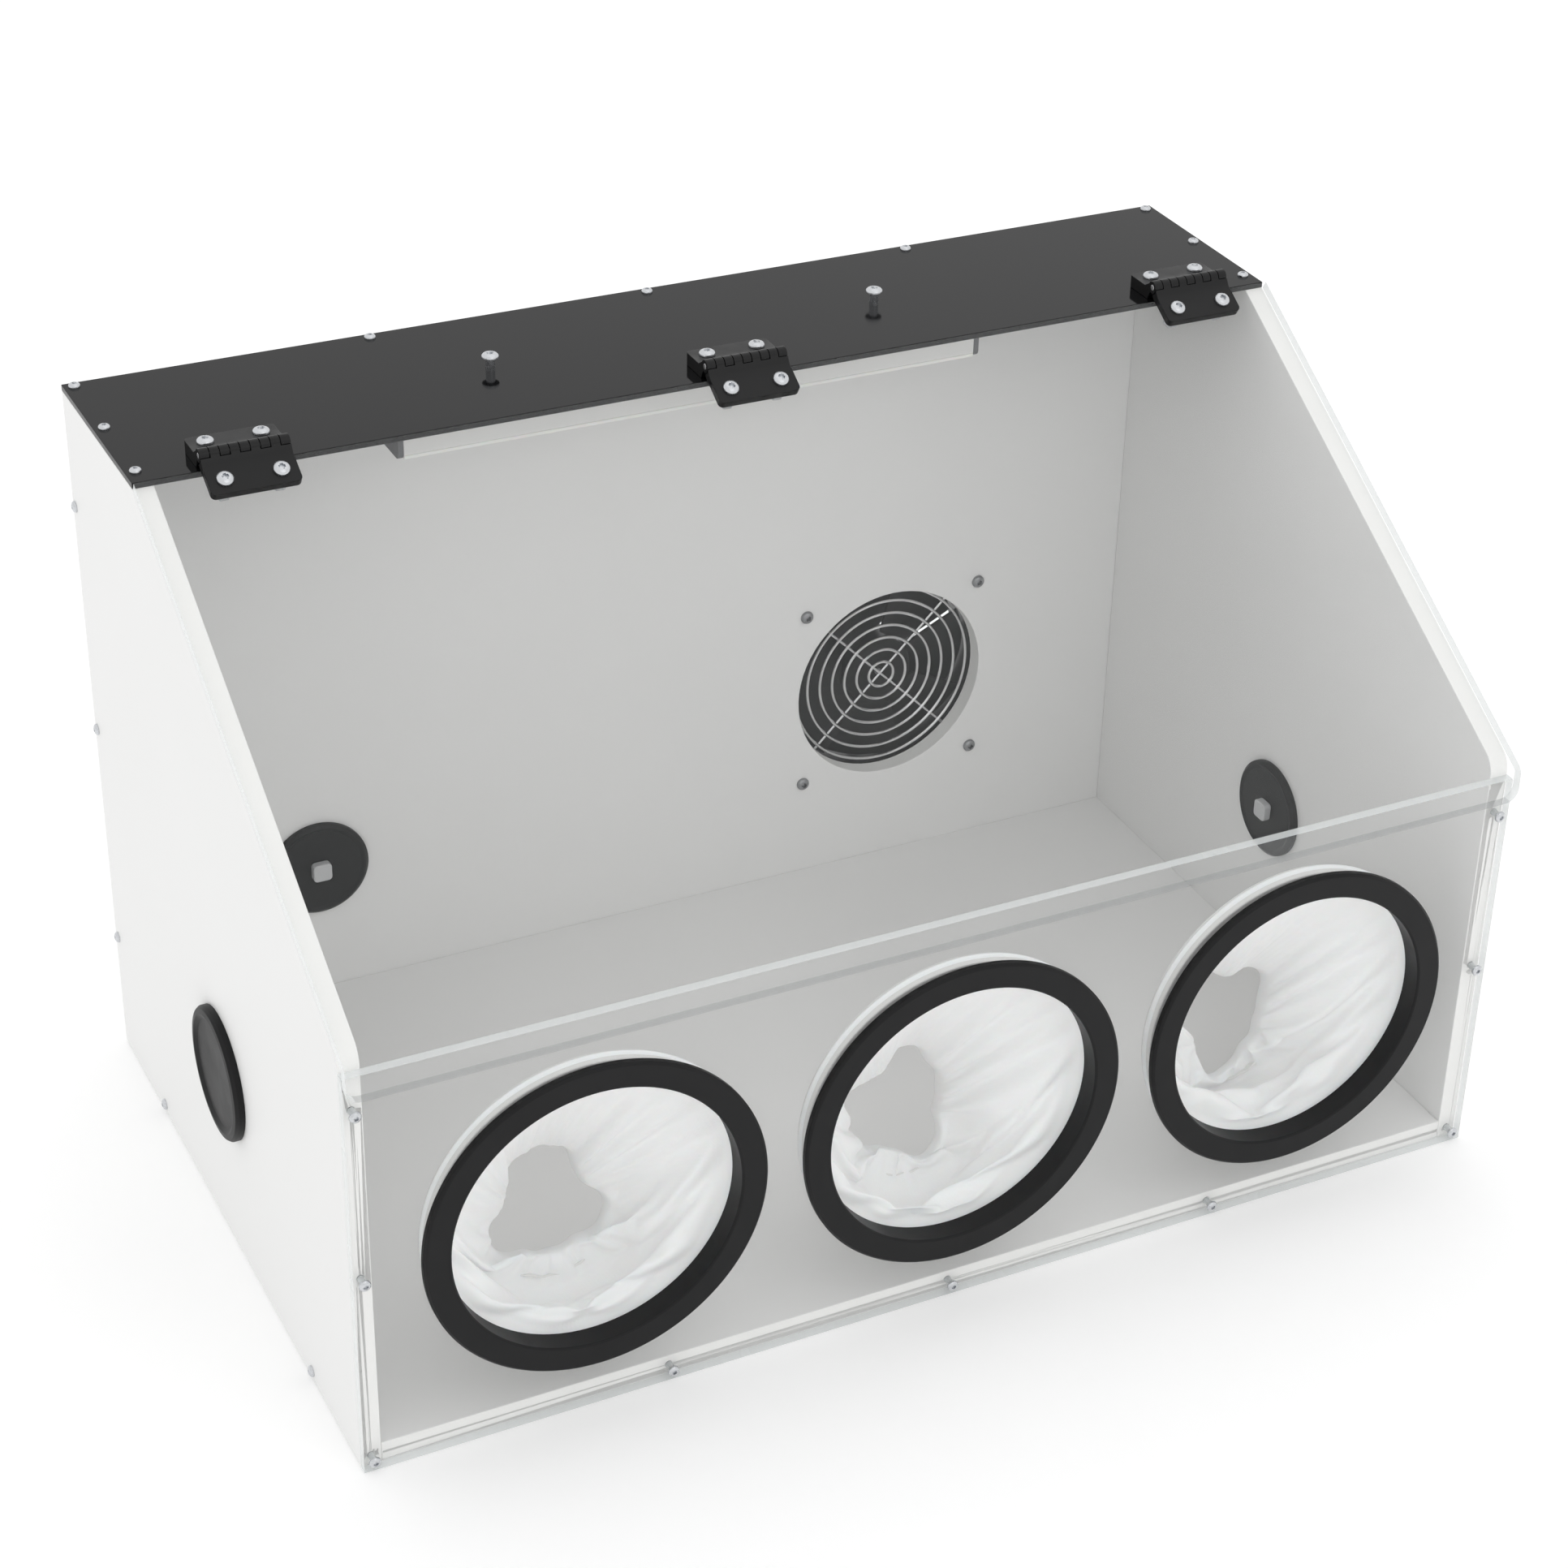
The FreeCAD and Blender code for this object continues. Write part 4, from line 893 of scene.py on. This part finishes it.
    def finish_sleeve(self, cloth: bpy.types.Object) -> bpy.types.Object:
        """Args:
            cloth: The settled tube.

        Returns:
            The finished sleeve.
        """
        bm = bmesh.new()
        bm.from_mesh(cloth.data)
        for _ in range(2):
            bmesh.ops.smooth_vert(bm, verts=bm.verts, factor=0.35, use_axis_x=True,
                                  use_axis_y=True, use_axis_z=True)
        bpy.data.objects.remove(cloth)
        node = f"arm_sleeve_{self.place}"
        piece = make_piece(bm, f"{node}_cloth", "cabinet", [node], smooth=False)
        piece.data.shade_smooth()
        wall = piece.modifiers.new("cloth_thickness", "SOLIDIFY")
        wall.thickness = 0.5 * MM
        wall.offset = 0.0
        rounder = piece.modifiers.new("soft_folds", "SUBSURF")
        rounder.levels = 1
        rounder.render_levels = 1
        return piece

    def make_elastic(self) -> bpy.types.Object:
        """Make the elastic band round the cuff, rippled by the gathers under it.

        Returns:
            The band.
        """
        band = turned([(33.6, -7.9), (34.7, -7.9), (34.7, -2.1), (33.6, -2.1)], 170)
        bmesh.ops.subdivide_edges(band, edges=[e for e in band.edges
                                               if e.calc_length() > 5 * MM], cuts=3)
        for vert in band.verts:
            angle = math.atan2(vert.co.y, vert.co.x)
            vert.co.xy *= 1 + 0.008 * math.sin(self.ruffles * 2 * angle)
        ease_edges(band, 0.25)
        middle, _, _ = self.cuff_frame(0)
        along = Vector((0, math.cos(self.cuff_tilt), -math.sin(self.cuff_tilt)))
        bmesh.ops.transform(band, matrix=stand(middle, along), verts=band.verts)
        node = f"cuff_elastic_{self.place}"
        return make_piece(band, f"{node}_band", "cabinet", [node])

    def dress(self) -> None:
        dress_piece(self.pieces["port_collar"], "black_plastic", BLACK_ABS)
        dress_piece(self.pieces["port_clamp_ring"], "clamp_plastic", CLAMP_WHITE)
        dress_piece(self.pieces["sleeve"], "sleeve_fabric", SLEEVE_CLOTH)
        dress_piece(self.pieces["elastic"], "elastic_band", CUFF_ELASTIC)


# ---- extraction fan ---------------------------------------------------------------------------------

@dataclass
class Fan(SubAssembly):
    """The fan behind the back panel, with its wire guard; guard sizes in millimetres."""

    spot: Vector = field(default_factory=lambda: Vector((0.1437, 0.1815, 0.119)))
    wire: float = 1.8
    ring_pitch: float = 7.6
    rings: int = 7
    hole_pitch: float = 105.0

    def hoop(self, radius: float, level: float) -> bmesh.types.BMesh:
        """A wire ring of a radius at a level, both in millimetres."""
        bm = bmesh.new()
        made = bmesh.ops.create_circle(bm, segments=10, radius=self.wire / 2 * MM)
        bmesh.ops.rotate(bm, verts=made["verts"], cent=(0, 0, 0),
                         matrix=Matrix.Rotation(math.pi / 2, 3, "X"))
        bmesh.ops.translate(bm, verts=made["verts"], vec=(radius * MM, 0, level * MM))
        bmesh.ops.spin(bm, geom=list(bm.verts) + list(bm.edges), cent=(0, 0, 0), axis=(0, 0, 1),
                       dvec=(0, 0, 0), angle=math.tau, steps=96 if radius > 10 else 40,
                       use_merge=True, use_normal_flip=False, use_duplicate=False)
        bmesh.ops.remove_doubles(bm, verts=bm.verts, dist=0.002 * MM)
        bmesh.ops.recalc_face_normals(bm, faces=bm.faces)
        return bm

    def strut(self, angle: float, level: float) -> bmesh.types.BMesh:
        """A straight wire between two opposite eyes."""
        bm = bmesh.new()
        reach = (self.hole_pitch / math.sqrt(2) - 3) * MM
        bmesh.ops.create_cone(bm, cap_ends=True, segments=12, radius1=self.wire / 2 * MM,
                              radius2=self.wire / 2 * MM, depth=2 * reach)
        ease_edges(bm, 0.2, 2, math.radians(60))
        turn = Matrix.Rotation(angle, 4, "Z") @ Matrix.Rotation(math.pi / 2, 4, "Y")
        bmesh.ops.transform(bm, matrix=Matrix.Translation((0, 0, level * MM)) @ turn, verts=bm.verts)
        return bm

    def build(self) -> None:
        """Build the guard, and copy the mouldings with eased edges."""
        upper = self.wire / 2 + self.wire * 0.75
        parts = [self.hoop(ring * self.ring_pitch, self.wire / 2)
                 for ring in range(1, self.rings + 1)]
        parts += [self.strut(math.radians(angle), upper) for angle in (45, 135)]
        for across in SIDES:
            for up in SIDES:
                eye = self.hoop(2 + self.wire * 0.75, upper)
                half = self.hole_pitch / 2 * MM
                bmesh.ops.translate(eye, verts=eye.verts, vec=(across * half, up * half, 0))
                parts.append(eye)
        guard = join(parts)
        bmesh.ops.transform(guard, matrix=stand(self.spot, Vector((0, 1, 0))), verts=guard.verts)
        self.pieces["guard"] = make_piece(guard, "fan_guard_wires", "cabinet", ["fan_guard"])
        for node, body, ease in (("fan_frame", "cabinet", 0.4), ("fan_rotor", "fan_rotor", 0.25),
                                 ("fan_shaft", "fan_rotor", 0.3)):
            bm = merged(node)
            ease_edges(bm, ease)
            self.pieces[node] = make_piece(bm, f"{node}_moulding", body, [node])
        self.pieces["stator"] = self.make_stator()

    def make_stator(self) -> bpy.types.Object:
        """Make the wound core: four pole bundles round the bearing tube.

        Returns:
            The stator.
        """
        low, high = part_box("fan_stator")
        middle = (low + high) / 2
        outer = (high.x - low.x) / 2
        bm = turned([(5.0, -(high.y - low.y) / 2 / MM), (outer / MM, -(high.y - low.y) / 2 / MM),
                     (outer / MM, (high.y - low.y) / 2 / MM), (5.0, (high.y - low.y) / 2 / MM)], 64)
        for vert in bm.verts:
            angle = math.atan2(vert.co.y, vert.co.x)
            if vert.co.xy.length > 8 * MM:
                vert.co.xy *= 0.93 + 0.07 * abs(math.cos(2 * angle))
        ease_edges(bm, 0.8, 3)
        bmesh.ops.transform(bm, matrix=stand(middle, Vector((0, 1, 0))), verts=bm.verts)
        return make_piece(bm, "fan_stator_winding", "cabinet", ["fan_stator"])

    def dress(self) -> None:
        """Nickel wire, black mouldings, copper winding."""
        dress_piece(self.pieces["guard"], "guard_wire", GUARD_WIRE)
        dress_piece(self.pieces["fan_frame"], "fan_plastic", FAN_PBT)
        dress_piece(self.pieces["fan_rotor"], "fan_plastic", FAN_PBT)
        dress_piece(self.pieces["fan_shaft"], "plated_steel", GROUND_STEEL)
        dress_piece(self.pieces["stator"], "stator_winding", WINDING)


# ---- lamp bar and covers ----------------------------------------------------------------------------

@dataclass
class LampBar(SubAssembly):
    """The lamp under the top panel, with a row of lamps on its board."""

    led_pitch: float = 16.0

    def build(self) -> None:
        """Copy the housing, diffuser and caps with eased edges, and set the lamps on the board."""
        for node, ease in (("lamp_housing", 0.3), ("lamp_diffuser", 0.4), ("lamp_end_cap_left", 0.4),
                           ("lamp_end_cap_right", 0.4), ("lamp_led_board", 0.15)):
            bm = merged(node)
            ease_edges(bm, ease)
            self.pieces[node] = make_piece(bm, f"{node}_piece", "cabinet", [node])
        low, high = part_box("lamp_led_board")
        count = int((high.x - low.x) / (self.led_pitch * MM))
        lamps = []
        for index in range(count):
            bm = bmesh.new()
            bmesh.ops.create_cube(bm, size=3.4 * MM)
            bmesh.ops.scale(bm, verts=bm.verts, vec=(1, 0.85, 0.3))
            ease_edges(bm, 0.2)
            x = low.x + (index + 0.5) * (high.x - low.x) / count
            bmesh.ops.translate(bm, verts=bm.verts, vec=(x, (low.y + high.y) / 2, low.z - 0.4 * MM))
            lamps.append(bm)
        self.pieces["lamps"] = make_piece(join(lamps), "lamp_board_leds", "cabinet")

    def dress(self) -> None:
        """Powder coat, opal, grey caps, white board and phosphor."""
        dress_piece(self.pieces["lamp_housing"], "lamp_aluminium", POWDER_COAT)
        dress_piece(self.pieces["lamp_diffuser"], "lamp_opal", OPAL)
        dress_piece(self.pieces["lamp_led_board"], "circuit_board", SOLDER_MASK)
        dress_piece(self.pieces["lamps"], "circuit_board", PHOSPHOR)
        for side in ("left", "right"):
            dress_piece(self.pieces[f"lamp_end_cap_{side}"], "lamp_cap_plastic", CAP_GREY)


@dataclass
class Covers(SubAssembly):
    """Three blanking covers, turned discs either side of the board, and their knobs."""

    spots: dict[str, tuple[Vector, Vector]] = field(default_factory=lambda: {
        "left": (Vector((-0.295, -0.0015, 0.100)), Vector((-1, 0, 0))),
        "right": (Vector((0.295, -0.0015, 0.100)), Vector((1, 0, 0))),
        "back": (Vector((-0.189, 0.1815, 0.085)), Vector((0, 1, 0)))})

    def build(self) -> None:
        """Turn the discs and round the knobs."""
        for place, (spot, out) in self.spots.items():
            outer = turned([(0, 3.1), (26.4, 3.4), (29.0, 5), (31.8, 4.6), (33, 3), (33, 0),
                            (8, 0), (8, -8), (2.6, -8), (2.6, -0.5), (0, -0.5)], 128, closed=False)
            inner = turned([(2.6, -13), (22.5, -13), (24.4, -14), (26.5, -12.5), (26.5, -10),
                            (2.6, -10)], 128)
            for name, bm in (("cover_outer", outer), ("cover_inner", inner)):
                ease_edges(bm, 0.3, 3, math.radians(22))
                bmesh.ops.transform(bm, matrix=stand(spot, out), verts=bm.verts)
                node = f"{name}_{place}"
                self.pieces[node] = make_piece(bm, f"{node}_disc", "cabinet", [node])
        bm = merged("cover_knob_bolts")
        ease_edges(bm, 0.7, 4, math.radians(60))
        self.pieces["knobs"] = make_piece(bm, "cover_knob_set", "cabinet", ["cover_knob_bolts"])

    def dress(self) -> None:
        """Black discs, grey knobs."""
        for name, piece in self.pieces.items():
            if name == "knobs":
                dress_piece(piece, "grey_plastic", GREY_ABS)
            else:
                dress_piece(piece, "black_plastic", BLACK_ABS)


# ---- studio -----------------------------------------------------------------------------------------

@dataclass
class Studio(SubAssembly):
    """A pale floor, soft light all round and the camera."""

    key_power: float = 3.0
    sky: float = 0.96

    def light(self, name: str, spot: Vector, size: float, power: float) -> None:
        """Hang one square soft light that faces the box.

        Args:
            name: The light's name.
            spot: Where it hangs.
            size: Its side in metres.
            power: Its power in watts.
        """
        lamp = bpy.data.lights.new(name, "AREA")
        lamp.size = size
        lamp.energy = power
        holder = bpy.data.objects.new(name, lamp)
        holder.location = spot
        holder.rotation_euler = (Vector((0, 0, 0.15)) - spot).to_track_quat("-Z", "Y").to_euler()
        bpy.context.scene.collection.objects.link(holder)

    def build(self) -> None:
        """Lay the floor, light it and set the camera."""
        bm = bmesh.new()
        bmesh.ops.create_grid(bm, x_segments=4, y_segments=4, size=6.0)
        bmesh.ops.translate(bm, verts=bm.verts, vec=(0, 0, -0.5 * MM))
        mesh = bpy.data.meshes.new("studio_floor")
        bm.to_mesh(mesh)
        bm.free()
        floor = bpy.data.objects.new("studio_floor", mesh)
        bpy.context.scene.collection.objects.link(floor)
        self.pieces["floor"] = floor
        world = bpy.data.worlds.new("soft_studio")
        world.use_nodes = True
        world.node_tree.nodes["Background"].inputs["Color"].default_value = (1, 1, 1, 1)
        world.node_tree.nodes["Background"].inputs["Strength"].default_value = self.sky
        bpy.context.scene.world = world
        self.light("key_light", Vector((0.3, -1.9, 2.1)), 1.6, self.key_power)
        self.light("top_light", Vector((0.4, 0.2, 2.4)), 2.0, self.key_power * 0.7)
        lens = bpy.data.cameras.new("camera")
        lens.lens = 78.45
        lens.sensor_width = 36.0
        lens.shift_x = -0.06936
        lens.shift_y = 0.01760
        camera = bpy.data.objects.new("camera", lens)
        camera.location = (-0.64052, -1.27892, 1.05183)
        camera.rotation_euler = tuple(math.radians(a) for a in (58.3209, -2.0657, -27.2886))
        bpy.context.scene.collection.objects.link(camera)
        bpy.context.scene.camera = camera
        bpy.context.scene.view_settings.view_transform = "Standard"

    def dress(self) -> None:
        """White paper on the floor."""
        self.pieces["floor"].data.materials.append(PAPER.material())


def main() -> None:
    """Build and dress every sub-assembly in order."""
    logging.basicConfig(level=logging.INFO, format="%(message)s")
    parts: list[SubAssembly] = [Studio(), Boards(), TopPanel(), ClearPanels(), Fasteners(), Hinges()]
    parts += [ArmPort(place=place, seed=1.7 * index) for index, place in enumerate(PLACES)]
    parts += [Fan(), LampBar(), Covers()]
    for part in parts:
        LOG.info("building %s", type(part).__name__)
        part.build()
        part.dress()


if __name__ == "__main__":
    main()
